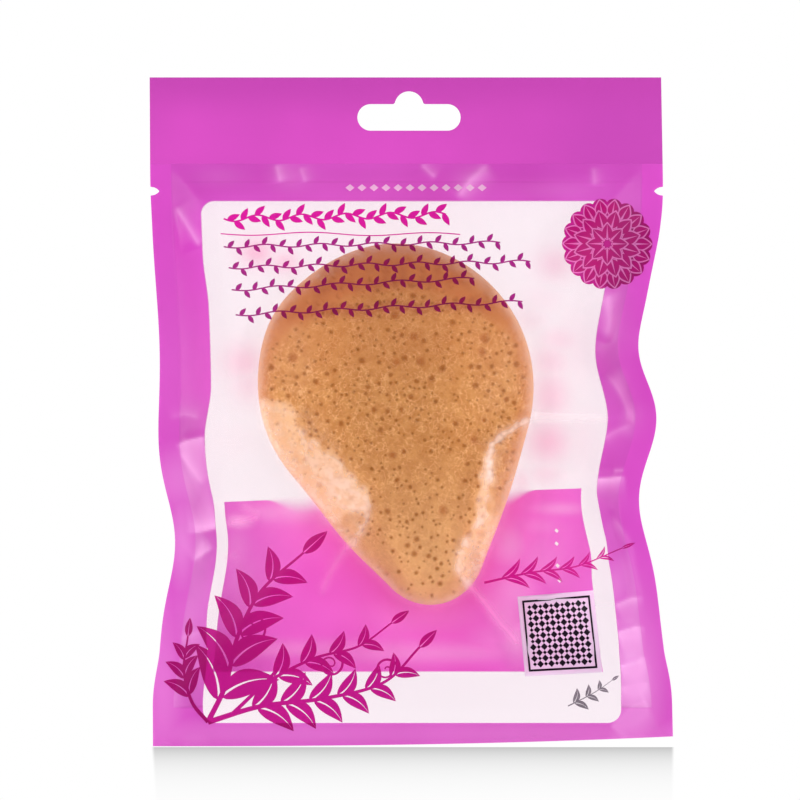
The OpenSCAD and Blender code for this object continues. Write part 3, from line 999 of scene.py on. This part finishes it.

# Painted highlights: sharper pale streaks beside the creases of the frame. Pixels, widths to the left and
# right of the way they run in millimetres, share that fades at each end, and strength
FRAME_HIGHLIGHT_STREAKS = [
    ([(175, 447), (190, 441), (208, 437)], 0.3, 6.0, 0.18, 0.70),
    ([(178, 450), (190, 466), (204, 486)], 1.8, 0.5, 0.2, 0.30),
    ([(186, 532), (204, 530), (222, 525)], 4.0, 0.3, 0.15, 0.95),
    ([(190, 562), (204, 552), (214, 546)], 3.0, 0.4, 0.25, 0.55),
    ([(178, 640), (192, 634), (206, 631)], 0.6, 3.0, 0.25, 0.25),
    ([(168, 420), (184, 414), (202, 419)], 1.6, 0.4, 0.25, 0.25),
    ([(592, 480), (610, 479), (627, 477)], 0.3, 2.6, 0.15, 0.95),
    ([(612, 471), (626, 470)], 0.4, 0.5, 0.3, 0.40),
    ([(598, 442), (614, 432), (634, 424)], 0.5, 1.2, 0.25, 0.30),
    ([(609, 512), (629, 541), (634, 566), (643, 606)], 0.5, 1.4, 0.2, 0.30),
    ([(612, 607), (628, 600), (645, 597)], 0.3, 2.2, 0.2, 0.60),
    ([(613, 635), (631, 629), (646, 628)], 0.3, 3.6, 0.2, 0.85),
    ([(616, 668), (632, 664), (648, 657)], 0.4, 2.6, 0.2, 0.60),
    ([(618, 688), (634, 687), (650, 683)], 0.3, 1.8, 0.2, 0.45),
    ([(610, 729), (628, 712), (648, 701)], 0.3, 3.5, 0.12, 0.80),
    ([(276, 163), (279, 174), (281, 184)], 1.4, 0.6, 0.25, 0.50),
    ([(300, 166), (303, 175), (306, 184)], 1.2, 0.4, 0.25, 0.35),
    ([(420, 163), (428, 171), (437, 179)], 1.3, 0.5, 0.25, 0.45),
    ([(490, 163), (470, 181), (456, 200)], 1.8, 0.8, 0.2, 0.55),
    ([(593, 165), (594, 176), (594, 188)], 1.3, 0.6, 0.3, 0.35),
    ([(175, 205), (188, 226), (201, 248)], 1.8, 0.6, 0.15, 0.50),
    ([(600, 290), (609, 318), (604, 342)], 2.5, 0.8, 0.25, 0.30),
    ([(604, 372), (620, 392), (634, 428)], 2.2, 0.6, 0.25, 0.30),
]

# Painted highlights: pale places of the panel printed on the back film
PANEL_HIGHLIGHTS = [(238, 522, 4, 2.2, 0.8), (516, 594, 7, 7, 0.5), (519, 640, 6, 7, 0.7), (240, 580, 5, 10, 0.15),
               (300, 650, 30, 2.4, 0.4), (430, 654, 34, 3.0, 0.45), (540, 560, 8, 9, 0.25), (508, 614, 6, 13, 0.45),
               (562, 509, 7, 1.8, 0.55), (540, 528, 8, 3, 0.2), (500, 640, 10, 6, 0.3), (296, 508, 9, 4, 0.75),
               (272, 512, 8, 3, 0.5), (510, 548, 5, 6, 0.5), (328, 512, 6, 4, 0.5), (236, 548, 4, 9, 0.25),
               (430, 618, 22, 5, 0.15)]


def with_lines(values, x, z, lines, sharp):
    """Values raised along creases: pixels, widths to both sides, share that fades, and strength."""
    for pixels, left, right, ends, strength in lines:
        values = values + strength * crease(x, z, pixels, left, right, ends, sharp)
    return values


def frame_glow(x, z):
    """How pale the magenta of the front film is painted, with light from behind and highlights by its creases."""
    return np.clip(with_lines(soft_spots(x, z, FRAME_GLOWS), x, z, FRAME_HIGHLIGHT_STREAKS, 0.25), 0, 1)


def film_veil(x, z):
    """How milky the front film is: little where it lies on the sponge, more along its creases and the rim, with
    painted highlights and sheen in its patches and lines.
    """
    beyond = beyond_sponge(x, z)
    over = smooth((1.5 - beyond) / 3)
    top = smooth((z - at_px(0, 330)[1]) / 16)
    rim = (VEIL_RIM - 0.03 * top) * bell(beyond, -0.3 - 0.4 * top, 1.4 + 0.4 * top)
    veil = VEIL_ON_SPONGE + VEIL_BESIDE * smooth(beyond / 4) + rim
    # Milky patches, partly a painted sheen
    for pixels, soft, milky in VEIL_AND_SHEEN_PATCHES:
        veil = veil + over * milky * patch(x, z, pixels, soft, uneven=0.7)
    # Painted highlights along creases in the window
    for pixels, soft, milky in WINDOW_HIGHLIGHTS:
        veil = veil + milky * patch(x, z, pixels, soft, uneven=0.3)
    # Painted highlights as milky lines along the creases
    return np.clip(with_lines(veil, x, z, HIGHLIGHT_LINES, 0.6), *VEIL_LIMITS)


def below_panel_top(x, z):
    """1 below the top edge of the panel printed on the back film."""
    top = mix(PANEL_TOP_LEFT, PANEL_TOP_RIGHT, (x - left_x(z) - PANEL_LEFT) / (PANEL_RIGHT - PANEL_LEFT)) + BOTTOM_Z
    return smooth((top - z) / 3 + 0.5)


front = film_piece("front_film_skin", FRONT, film_shader("front_film"))
back = film_piece("back_film_skin", BACK, film_shader("back_film", back=True))
over_foam = smooth((0.8 - beyond_sponge(FRONT.x, FRONT.z)) / 2.4)
beyond_back = beyond_sponge(BACK.x, BACK.z)
for film_object, name, values in (
        # Painted light and highlights on the front film's magenta, as its glow
        (front, "veil", film_veil(FRONT.x, FRONT.z)), (front, "glow", frame_glow(FRONT.x, FRONT.z)),
        # Painted bounce light on the milky front film, over the foam and over the panel
        (front, "warm", over_foam), (front, "panel_bounce", (1 - over_foam) * below_panel_top(FRONT.x, FRONT.z)),
        # Painted highlights on the back film's panel
        (back, "glow", soft_spots(BACK.x, BACK.z, PANEL_HIGHLIGHTS)),
        # Painted shade, with warm light from the sponge, on the panel near it
        (back, "near", 0.7 * np.exp(-np.clip(beyond_back, 0, None) / 12)),
        (back, "touch", smooth((-3 - beyond_back) / 8)), (back, "cloud", soft_spots(BACK.x, BACK.z, CLOUDS))):
    set_value(film_object.data, name, values.ravel())
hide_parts("front_film", "left_side_seal", "right_side_seal", "bottom_seal")
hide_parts("back_film")

header = frame["nodes"]["header_panel"]
header.data.materials.clear()
header.data.materials.append(header_shader())


# The sponge

def outline(size):
    """The teardrop's outline, its two circles shrunk to a size from 0 to 1."""
    flank = math.asin(FLANK_SIN)
    wide = np.linspace(-flank, math.pi + flank, 300)
    narrow = np.linspace(math.pi + flank, 2 * math.pi - flank, 90)
    points = np.vstack([np.c_[size * LOBE_R * np.cos(wide), -size * LOBE_R * np.sin(wide)],
                        np.c_[size * TIP_R * np.cos(narrow), LOBE_GAP - size * TIP_R * np.sin(narrow)]])
    return np.vstack([points, points[:1]])


def ring(size, count):
    """Points spaced evenly round the outline of a size."""
    return along_path(outline(size), (np.arange(count) + 0.25) / count)[0]


def sponge_places(step):
    """Places over the sponge: a triangle grid inside, and rings that close up towards the rim."""
    rise = step * math.sqrt(3) / 2
    down = np.arange(-LOBE_R, LOBE_GAP + TIP_R, rise)
    across = np.arange(-LOBE_R, LOBE_R, step)
    grid_across = across[None, :] + step / 2 * (np.arange(len(down)) % 2)[:, None]
    grid_down = np.repeat(down[:, None], len(across), axis=1)
    grid = np.c_[grid_across.ravel(), grid_down.ravel()]
    x, z = from_sponge(*grid.T)
    grid = grid[spine_place(x, z, 0)[0] < RINGS_START - RINGS_MARGIN]
    sizes = 1 - (1 - RINGS_START) * (1 - np.linspace(0, 1, RINGS)) ** 2
    rings = [ring(size, int(RIM_POINTS * (RING_STEP / step if size < 1 else 1))) for size in sizes]
    return np.vstack([grid] + rings)


# The middles of two pores keep at least this many times the sum of their radii apart
PORE_SPACING = 1.05
# How many are tried, their least and greatest radius in millimetres, how dark and how ruddy they are
PORE_SIZES = [(24, 1.4, 1.8, 0.66, 0.85), (90, 1.0, 1.3, 0.8, 0.3), (330, 0.7, 0.95, 0.86, 0.08),
              (800, 0.5, 0.66, 0.8, 0.0)]


def pores(seed):
    """Seeded pores that keep clear of each other: place on the sponge, radius, how dark and how ruddy."""
    dice = np.random.default_rng(seed)
    found = np.zeros((0, 5))
    for count, low, high, tone, red in PORE_SIZES:
        for _ in range(count):
            across = dice.uniform(-LOBE_R, LOBE_R)
            down = dice.uniform(-LOBE_R, LOBE_GAP + TIP_R)
            radius = low + (high - low) * dice.uniform(0, 1) ** 2
            gone = np.hypot(found[:, 0] - across, found[:, 1] - down)
            if np.all(gone > PORE_SPACING * (found[:, 2] + radius)):
                found = np.vstack([found, (across, down, radius, tone, red)])
    return found


def pore_looks(across, down, seed):
    """Depth of the pores in millimetres, how dark and how ruddy they are, at places."""
    depth, dark, ruddy = (np.zeros(len(across)) for _ in range(3))
    order = np.argsort(across)
    xs = across[order]
    for px, pz, radius, tone, red in pores(seed):
        a, b = np.searchsorted(xs, (px - radius, px + radius))
        near = order[a:b]
        d = np.hypot(across[near] - px, down[near] - pz) / radius
        depth[near] = np.maximum(depth[near], np.clip(1 - d ** 3, 0, 1) * radius)
        dark[near] = np.maximum(dark[near], tone * smooth(1.4 * (1 - d)))
        ruddy[near] = np.maximum(ruddy[near], np.where(d < 1.2, red, 0))
    return depth, dark, ruddy


def sponge_looks(x, z, side):
    """How crisp, hazy, pale and orange the foam looks through the film, at places.

    In front the unlit top is hazy down to a wavy line, with painted shade; the lower part is paler with painted
    light from below, and so are the places behind milky film, with a painted sheen, and the rim itself, which
    also has a painted orange glow. Heights are in pixels of the photograph.
    """
    px, py = x / PIXEL + SLOT_PX[0], SLOT_PX[1] - z / PIXEL
    inside = -beyond_sponge(x, z)
    # Painted orange glow along the rim
    rim = 0.75 * smooth((7.0 - inside) / 7.0)
    if side > 0:
        return smooth(inside / 6), np.zeros_like(x), np.zeros_like(x), rim
    low_edge = 312 + 7 * np.sin(px / 23) - 0.06 * (px - 400) + 56 * smooth((14 - inside) / 14)
    top = smooth((low_edge - py) / 40)
    edge = smooth((2.2 - inside) / 2.2)
    # Painted shade: the hazy unlit top is darker, and weakly so further down
    haze_shade = 0.92 * top * (0.66 + 0.34 * smooth(inside / 8)) + 0.3 * (1 - top) * smooth((405 - py) / 75)
    haze_shade = haze_shade * (1 - 0.45 * edge)
    milky = sum(patch(x, z, pixels, 3.4, uneven=1.0) for pixels, _, _ in VEIL_AND_SHEEN_PATCHES[:1] + VEIL_AND_SHEEN_PATCHES[6:])
    milky = np.clip(milky, 0, 1)
    # Painted light from below on the lower part, and a painted sheen behind milky film; the very rim is paler too
    low = smooth((py - 430) / 140)
    low_rim = smooth((py - 490) / 60) * smooth((8 - inside) / 7)
    pale = np.clip((0.38 * low + 0.8 * milky + 0.22 * low_rim) * (1 - top) + 0.45 * edge, 0, 1)
    crisp = (1 - top) * smooth((inside - 0.3) / 3.5) * (1 - 0.5 * milky) * (1 - 0.1 * low)
    return crisp, haze_shade, pale, rim * (1 - 0.5 * top) * (1 - 0.85 * smooth((py - 450) / 90))


def outward(across, down):
    """Unit vectors that point straight out from the teardrop's outline, at places in the sponge."""
    along = -FLANK_SIN * np.abs(across) + FLANK_COS * down
    low = np.where(along > FLANK_COS * LOBE_GAP, LOBE_GAP, 0)
    length = np.maximum(np.hypot(across, down - low), 1)
    flank = (along > 0) & (low == 0)
    return (np.where(flank, np.sign(across) * FLANK_COS, across / length),
            np.where(flank, FLANK_SIN, (down - low) / length))


def bulged(across, down, place):
    """Places of the frame where places in the plain teardrop come to lie: its rim bulges, its middle stays."""
    x, z = from_sponge(across, down)
    growth = smooth((place - 0.75) / 0.25) * rim_bulge(x, z)
    out_across, out_down = outward(across, down)
    return from_sponge(across + growth * out_across, down + growth * out_down)


def sponge_half(side, swell, step):
    """Points, triangles and looks of one half of the sponge; its rim comes last."""
    places = sponge_places(step)
    across, down = places.T
    rim = len(places) - RIM_POINTS
    triangles = [t for t in delaunay_2d_cdt([Vector(p) for p in places], [], [], 0, 1e-6)[2] if min(t) < rim]
    x, z = from_sponge(across, down)
    share = swell_share(x, z)
    share[-RIM_POINTS:] = 0
    depth, dark, ruddy = pore_looks(across, down, 20 + 10 * side)
    lumps = LUMP_HEIGHT * wavy(x, z, LUMP_LENGTH, 50 + side)
    place = spine_place(x, z, 0)[0]
    sink = np.clip(PORE_DEPTH * depth + FOAM_SINK + lumps, 0, None)
    height = swell * share - smooth((1 - place) / 0.08) * sink
    x, z = bulged(across, down, place)
    return np.c_[x, side * height, z], triangles, sponge_looks(x, z, side) + (dark, ruddy)


def sponge_piece(material):
    front_points, front_faces, front_looks = sponge_half(-1, FRONT_SWELL, FOAM_FRONT_STEP)
    back_points, back_faces, back_looks = sponge_half(1, BACK_SWELL, FOAM_BACK_STEP)
    n, own = len(front_points), len(back_points) - RIM_POINTS
    index = np.r_[n + np.arange(own), np.arange(n - RIM_POINTS, n)]
    faces = [list(t) for t in front_faces] + [[int(index[v]) for v in t[::-1]] for t in back_faces]
    obj = mesh_object("konjac_sponge_foam", np.vstack([front_points, back_points[:own]]), faces, material)
    for k, name in enumerate(("crisp", "haze_shade", "pale", "rim", "pore", "ruddy")):
        set_value(obj.data, name, np.r_[front_looks[k], back_looks[k][:own]])
    return obj


sponge = sponge_piece(foam_shader())
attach(sponge, "sponge")
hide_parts("konjac_sponge")


# Generic printed ornament, drawn in pixels of the photograph

# How far in front of the film the prints lie, and each layer of the medallion, in millimetres
PRINT_LIFT = -0.12
LAYER_LIFT = 0.05
# Turns of a tendril, and pixels between the points inside a print, which let it follow the film
TENDRIL_TURNS = 1.4
DECAL_GRID = 2.6

def ccw(shape):
    """The shape's points in counter-clockwise order."""
    points = np.asarray(shape, float)
    x, y = points.T
    area = np.sum(x * np.roll(y, -1) - np.roll(x, -1) * y)
    return points if area > 0 else points[::-1]


def turned(points, angle, at):
    """Points turned by an angle about the origin, then moved."""
    c, s = math.cos(angle), math.sin(angle)
    p = np.asarray(points, float)
    return np.c_[p[:, 0] * c - p[:, 1] * s, p[:, 0] * s + p[:, 1] * c] + np.asarray(at, float)


def polar(at, radius, angle):
    return at[0] + radius * math.cos(angle), at[1] + radius * math.sin(angle)


def disc(at, radius, sides):
    a = np.linspace(0, math.tau, sides, endpoint=False)
    return np.c_[at[0] + radius * np.cos(a), at[1] + radius * np.sin(a)]


def leaf(at, angle, length, width, vein=0.0, bend=0.0):
    """A pointed leaf as two halves with a bare vein between them, or as one shape without a vein."""
    t = np.linspace(0, 1, 13)
    edge = width / 2 * np.sin(math.pi * t ** 0.8) ** 0.9
    curve = bend * length * t * (1 - t) * 4
    upper, lower = (np.c_[t * length, y] for y in (curve + edge, curve - edge))
    if vein <= 0:
        return [turned(np.vstack([upper, lower[::-1][1:-1]]), angle, at)]
    gap = np.minimum(vein / 2 * (1 - t), edge)
    middles = (np.c_[t * length, y] for y in (curve + gap, curve - gap))
    return [turned(np.vstack([outer[1:], middle[::-1][1:]]), angle, at)
            for outer, middle in zip((upper, lower), middles)]


def stroke(points, start, end):
    """A line of changing width through a few points."""
    path = rounded_path(points, step=2.5)
    way = np.gradient(path, axis=0)
    way /= np.hypot(*way.T)[:, None]
    square = np.c_[-way[:, 1], way[:, 0]]
    width = np.linspace(start, end, len(path))[:, None] / 2
    return np.vstack([path + square * width, (path - square * width)[::-1]])


def along(points, share):
    """The place and the angle at a share of the way along a path."""
    path = rounded_path(points, step=1.0)
    places, lengths = along_path(path, share)
    k = min(np.searchsorted(lengths, share * lengths[-1]), len(path) - 2)
    return places[0], math.atan2(*(path[k + 1] - path[k])[::-1])


def tendril(stem, share, turn, radius, hand=1):
    """A spiral that leaves a stem at a share of its way and winds in."""
    place, angle = along(stem, share)
    a = np.linspace(0, math.tau * TENDRIL_TURNS, int(16 * TENDRIL_TURNS) + 2)
    r = radius * (1 - a / a[-1]) ** 0.8 + 0.12 * radius
    spiral = np.c_[r * np.sin(a), hand * (r[0] - r * np.cos(a))]
    return stroke(turned(spiral, angle + turn, place), 2.6, 1.3)


def branch(points, pairs, length, width, stem, spread=0.9, vein=1.6, first=0.12):
    """A stem with pairs of leaves that shrink towards its tip, and a last leaf on the tip."""
    shapes = [stroke(points, stem, stem * 0.4)]
    for k in range(pairs):
        share = first + (0.94 - first) * k / pairs
        size = 1 - 0.6 * share
        for side in (1, -1):
            place, angle = along(points, share + (0.02 if side > 0 else 0))
            shapes += leaf(place, angle + side * spread, length * size, width * size, vein * size, -0.12 * side)
    place, angle = along(points, 0.995)
    return shapes + leaf(place, angle, 0.5 * length, 0.45 * width, 0.5 * vein)


def vine(points, count, length, width, stem, spread=0.7):
    """A thin wavy stem with single leaves on alternate sides."""
    shapes = [stroke(points, stem, stem)]
    for k in range(count):
        place, angle = along(points, (k + 0.5) / count)
        side = 1 if k % 2 else -1
        shapes += leaf(place, angle + side * spread, length, width)
    return shapes


def wave(start, end, height, waves):
    """A wavy line between two pixels."""
    t = np.linspace(0, 1, waves * 8 + 1)
    (x0, y0), (x1, y1) = start, end
    return np.c_[x0 + (x1 - x0) * t, y0 + (y1 - y0) * t + height * np.sin(t * waves * math.tau)]


def decal(name, shapes, material, lift=PRINT_LIFT):
    """A flat print that follows the front film, made of shapes in pixels; they may overlap."""
    points, faces, boxes = [], [], []
    for shape in shapes:
        p = ccw(shape)
        faces.append(list(range(len(points), len(points) + len(p))))
        points += [Vector(q) for q in p]
        boxes.append((p.min(axis=0), p.max(axis=0)))
    low = np.min([b[0] for b in boxes], axis=0)
    high = np.max([b[1] for b in boxes], axis=0)
    for gy in np.arange(low[1], high[1], DECAL_GRID):
        for gx in np.arange(low[0], high[0], DECAL_GRID):
            if any(a[0] < gx < b[0] and a[1] < gy < b[1] for a, b in boxes):
                points.append(Vector((gx, gy)))
    verts, _, all_triangles, _, _, owners = delaunay_2d_cdt(points, [], faces, 1, 1e-4)
    triangles = [list(t) for t, owner in zip(all_triangles, owners) if owner]
    px = np.array([tuple(v) for v in verts])
    x, z = at_px(px[:, 0], px[:, 1])
    obj = mesh_object(name, np.c_[x, FRONT.depth_at(x, z) + lift, z], triangles, material)
    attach(obj, "pouch")


# Inks of the prints: colour, and how much of what lies behind they cover
INKS = {name: print_shader(name + "_print", colour, cover) for name, colour, cover in (
    ("plum", (200, 26, 146), 0.5), ("rose", (222, 30, 164), 0.5), ("row", (172, 44, 140), 0.3),
    ("pale_rose", (240, 140, 216), 0.95), ("pale", (252, 218, 242), 0.9), ("slate", (138, 130, 140), 0.7),
    ("coal", (26, 16, 30), 0.97), ("tile", (250, 234, 253), 0.95))}

# Stems of the branches at the lower left, as pixels
TALL_STEM = [(208, 722), (226, 684), (238, 636), (262, 590), (304, 552)]
LOW_STEM = [(208, 722), (262, 706), (326, 698), (384, 682), (420, 646)]
MIDDLE_STEM = [(232, 714), (268, 682), (314, 658), (358, 646), (392, 622)]
LEFT_STEM = [(208, 722), (192, 702), (184, 670), (188, 636)]

# The medallion's middle and radius in pixels
MEDALLION = (607, 244)
MEDALLION_R = 46
# Its rings of petals, in shares of the radius: how many, where they start and end, width, and turn in petals
PETAL_RINGS = [(18, 0.60, 0.95, 0.27, 0.0), (12, 0.34, 0.72, 0.31, 0.5), (8, 0.10, 0.44, 0.25, 0.0)]

# The tile at the lower right: its corners in pixels, from the upper left, clockwise
TILE = [(517, 596), (593, 590), (602, 672), (525, 676)]
# Cells along its side, and the width of its margin and of its frame's line in shares of its side
TILE_CELLS = 11
TILE_MARGIN = 0.055
TILE_LINE = 0.026


def lower_left_print():
    shapes = branch(TALL_STEM, 5, 66, 29, 5.5, spread=0.85, vein=3.0)
    shapes += branch(LOW_STEM, 6, 50, 22, 5.5, spread=0.8, vein=2.6, first=0.2)
    shapes += branch(MIDDLE_STEM, 4, 44, 19, 4.0, spread=0.8, vein=2.2, first=0.3)
    shapes += branch(LEFT_STEM, 3, 38, 17, 4.0, spread=0.7, vein=2.0, first=0.34)
    shapes += [tendril(TALL_STEM, 0.58, 0.9, 15), tendril(MIDDLE_STEM, 0.66, 0.7, 12),
               tendril(LOW_STEM, 0.86, -0.7, 11, hand=-1)]
    decal("branches", shapes, INKS["plum"])


def medallion_print():
    """A round medallion in rings: dark scallops, then petals with pale rims, then a small star."""
    radius = MEDALLION_R
    base = [disc(MEDALLION, radius * 0.86, 48)]
    base += [disc(polar(MEDALLION, radius * 0.80, math.tau * k / 18), radius * 0.19, 18) for k in range(18)]
    decal("medallion_base", base, INKS["plum"])
    lift = PRINT_LIFT
    for count, inner, outer, width, turn in PETAL_RINGS:
        rims, petals = [], []
        for k in range(count):
            a = math.tau * (k + turn) / count
            length = radius * (outer - inner)
            rims += leaf(polar(MEDALLION, radius * (inner - 0.02), a), a, length + 0.06 * radius,
                         radius * width * 1.1)
            petals += leaf(polar(MEDALLION, radius * inner, a), a, length, radius * width * 0.88, 0.05 * radius)
        for part, shapes, ink_name in (("rims", rims, "pale_rose"), ("petals", petals, "rose")):
            lift -= LAYER_LIFT
            decal(f"medallion_{part}_{round(outer * 100)}", shapes, INKS[ink_name], lift)


def on_tile(u, v):
    a, b, c, d = (np.array(p, float) for p in TILE)
    return (a * (1 - u) + b * u) * (1 - v) + (d * (1 - u) + c * u) * v


def tile_box(u0, v0, u1, v1):
    return [on_tile(u, v) for u, v in ((u0, v0), (u1, v0), (u1, v1), (u0, v1))]


def tile_print():
    """A plain lattice of small diamonds in a frame, which says nothing."""
    decal("tile_ground", [tile_box(0, 0, 1, 1)], INKS["tile"])
    near, far, line = TILE_MARGIN, 1 - TILE_MARGIN, TILE_LINE
    shapes = [tile_box(near, near, far, near + line), tile_box(near, far - line, far, far),
              tile_box(near, near, near + line, far), tile_box(far - line, near, far, far)]
    cell = (1 - 2 * near - 4 * line) / TILE_CELLS
    for i in range(TILE_CELLS):
        for j in range(TILE_CELLS):
            u, v = (near + 2 * line + cell * (n + 0.5) for n in (i, j))
            size = cell * (0.62 if (i + j) % 2 else 0.36)
            shapes.append([on_tile(u + size * a, v + size * b) for a, b in ((1, 0), (0, 1), (-1, 0), (0, -1))])
    decal("tile_lattice", shapes, INKS["coal"], 2 * PRINT_LIFT)


def title_print():
    """A leafy garland, a plain wavy line and four rows of fine vine."""
    decal("garland", vine(wave((224, 219), (446, 215), 3.0, 5), 32, 14, 6.2, 1.8), INKS["rose"])
    decal("wavy_line", [stroke(wave((221, 234), (460, 235), 1.6, 2), 1.1, 1.1)], INKS["rose"])
    rows = (((224, 247), (500, 243), 32), ((229, 268), (530, 262), 36), ((232, 290), (474, 279), 28),
            ((236, 315), (522, 302), 34))
    for k, (start, end, leaves) in enumerate(rows):
        shapes = vine(wave(start, end, 1.6, leaves // 6), leaves, 9.4, 4.6, 1.4, spread=0.95)
        decal(f"vine_row_{k + 1}", shapes, INKS["row"])


def right_print():
    """A slender sprig beside the tile, and a small grey one below it."""
    sprig = branch([(484, 582), (530, 572), (576, 566), (622, 548)], 6, 30, 8, 2.4, spread=0.6)
    decal("slender_sprig", sprig, INKS["rose"])
    grey = branch([(568, 706), (584, 698), (598, 690), (612, 680)], 3, 17, 7, 1.2, vein=0.8)
    decal("grey_sprig", grey, INKS["slate"])


def lozenge_print():
    """A row of pale lozenges between the header and the window."""
    y = 188
    shapes = [[(x - 4.5, y), (x, y - 3.6), (x + 4.5, y), (x, y + 3.6)] for x in range(350, 494, 12)]
    decal("pale_lozenges", shapes, INKS["pale"])


lower_left_print()
medallion_print()
tile_print()
title_print()
right_print()
lozenge_print()

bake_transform(front)
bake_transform(back)


# Camera, lamps, world and floor

# How bright the world is from the front and from behind; it is 1 to the camera, mirrors and glass
FRONT_LIGHT = 0.72
BACK_LIGHT = 1.6
CAMERA_DISTANCE = 2.5
CAMERA_SENSOR = 36
LAMP_DISTANCE = 0.9
# Pairs of lamps: name, degrees to the side and up, width and height in metres, and power in watts
LAMPS = [("far", 66, -4, 0.12, 0.50, 3.4), ("near", 36, 6, 0.07, 0.45, 1.3)]
# The painted reflection on the floor: its strength, how fast it fades forwards and how fast it narrows, per metre
REFLECTION = 0.44
REFLECTION_FADE = -9.5
REFLECTION_NARROWING = 0.42
FLOOR_DROP = 0.3
FLOOR_HALF = 1500


def camera():
    data = bpy.data.cameras.new("camera")
    data.sensor_width = CAMERA_SENSOR
    data.lens = CAMERA_SENSOR * CAMERA_DISTANCE / (PHOTO_SIDE * PIXEL * MM)
    obj = new_object("camera", data)
    x, z = at_px(PHOTO_SIDE / 2, PHOTO_SIDE / 2)
    obj.location = (x * MM, -CAMERA_DISTANCE, z * MM)
    obj.rotation_euler = (math.pi / 2, 0, 0)
    bpy.context.scene.camera = obj


def lamp(name, azimuth, elevation, width, height, power):
    data = bpy.data.lights.new(name, "AREA")
    data.shape = "RECTANGLE"
    data.size, data.size_y, data.energy = width, height, power
    obj = new_object(name, data)
    target = Vector((0, 0, -90 * MM))
    a, e = math.radians(azimuth), math.radians(elevation)
    way = Vector((math.sin(a) * math.cos(e), -math.cos(a) * math.cos(e), math.sin(e)))
    obj.location = target + way * LAMP_DISTANCE
    obj.rotation_euler = (target - obj.location).to_track_quat("-Z", "Y").to_euler()


def world():
    """White to the camera, mirrors and glass. Its light is stronger from behind, where the backdrop is."""
    studio = bpy.data.worlds.new("studio")
    bpy.context.scene.world = studio
    s = Shader(studio, "OutputWorld")
    depth = s.split(s.coordinates["Generated"])[1]
    strength = s.ramp(depth, -0.2, 0.6, FRONT_LIGHT, BACK_LIGHT, kind="LINEAR")
    rays = s.node("LightPath").outputs
    for kind in ("Is Glossy Ray", "Is Transmission Ray", "Is Camera Ray"):
        strength = s.out("Mix", {"Factor": rays[kind], 2: strength, 3: 1.0})
    s.finish(s.out("Background", {"Color": WHITE, "Strength": strength}))


def floor_shader():
    """White floor with a painted grey reflection that fades towards the viewer from the bag's foot."""
    s = new_material("floor")
    x, y, _ = s.split(s.coordinates["Object"])
    forward = y * -1
    across = x / (1.0 - forward * REFLECTION_NARROWING)
    beside = (s.edge(across, left_x(BOTTOM_Z) * MM, 0.0006) * s.edge(across, right_x(BOTTOM_Z) * MM, -0.0006))
    dark = s.ramp(forward, -0.001, 0.0) * s.math("EXPONENT", forward * REFLECTION_FADE) * beside * REFLECTION
    shade = 1.0 - dark
    glow = s.out("Emission", {"Color": s.out("CombineColor", {0: shade, 1: shade, 2: shade}), "Strength": 1.0})
    plain = s.out("BsdfDiffuse", {"Color": (0.9, 0.9, 0.9, 1)})
    rays = s.node("LightPath").outputs
    seen = s.larger(s.larger(rays["Is Camera Ray"], rays["Is Transmission Ray"]), rays["Is Glossy Ray"])
    return s.finish(s.mixed(seen, plain, glow))


def floor():
    z, half = BOTTOM_Z - FLOOR_DROP, FLOOR_HALF
    corners = [(-half, -half, z), (half, -half, z), (half, half, z), (-half, half, z)]
    obj = mesh_object("floor", corners, [(0, 1, 2, 3)], floor_shader(), smooth_faces=False)


camera()
for lamp_name, lamp_turn, *lamp_rest in LAMPS:
    lamp("left_" + lamp_name, -lamp_turn, *lamp_rest)
    lamp("right_" + lamp_name, lamp_turn, *lamp_rest)
world()
floor()
bpy.context.scene.view_settings.view_transform = "Standard"
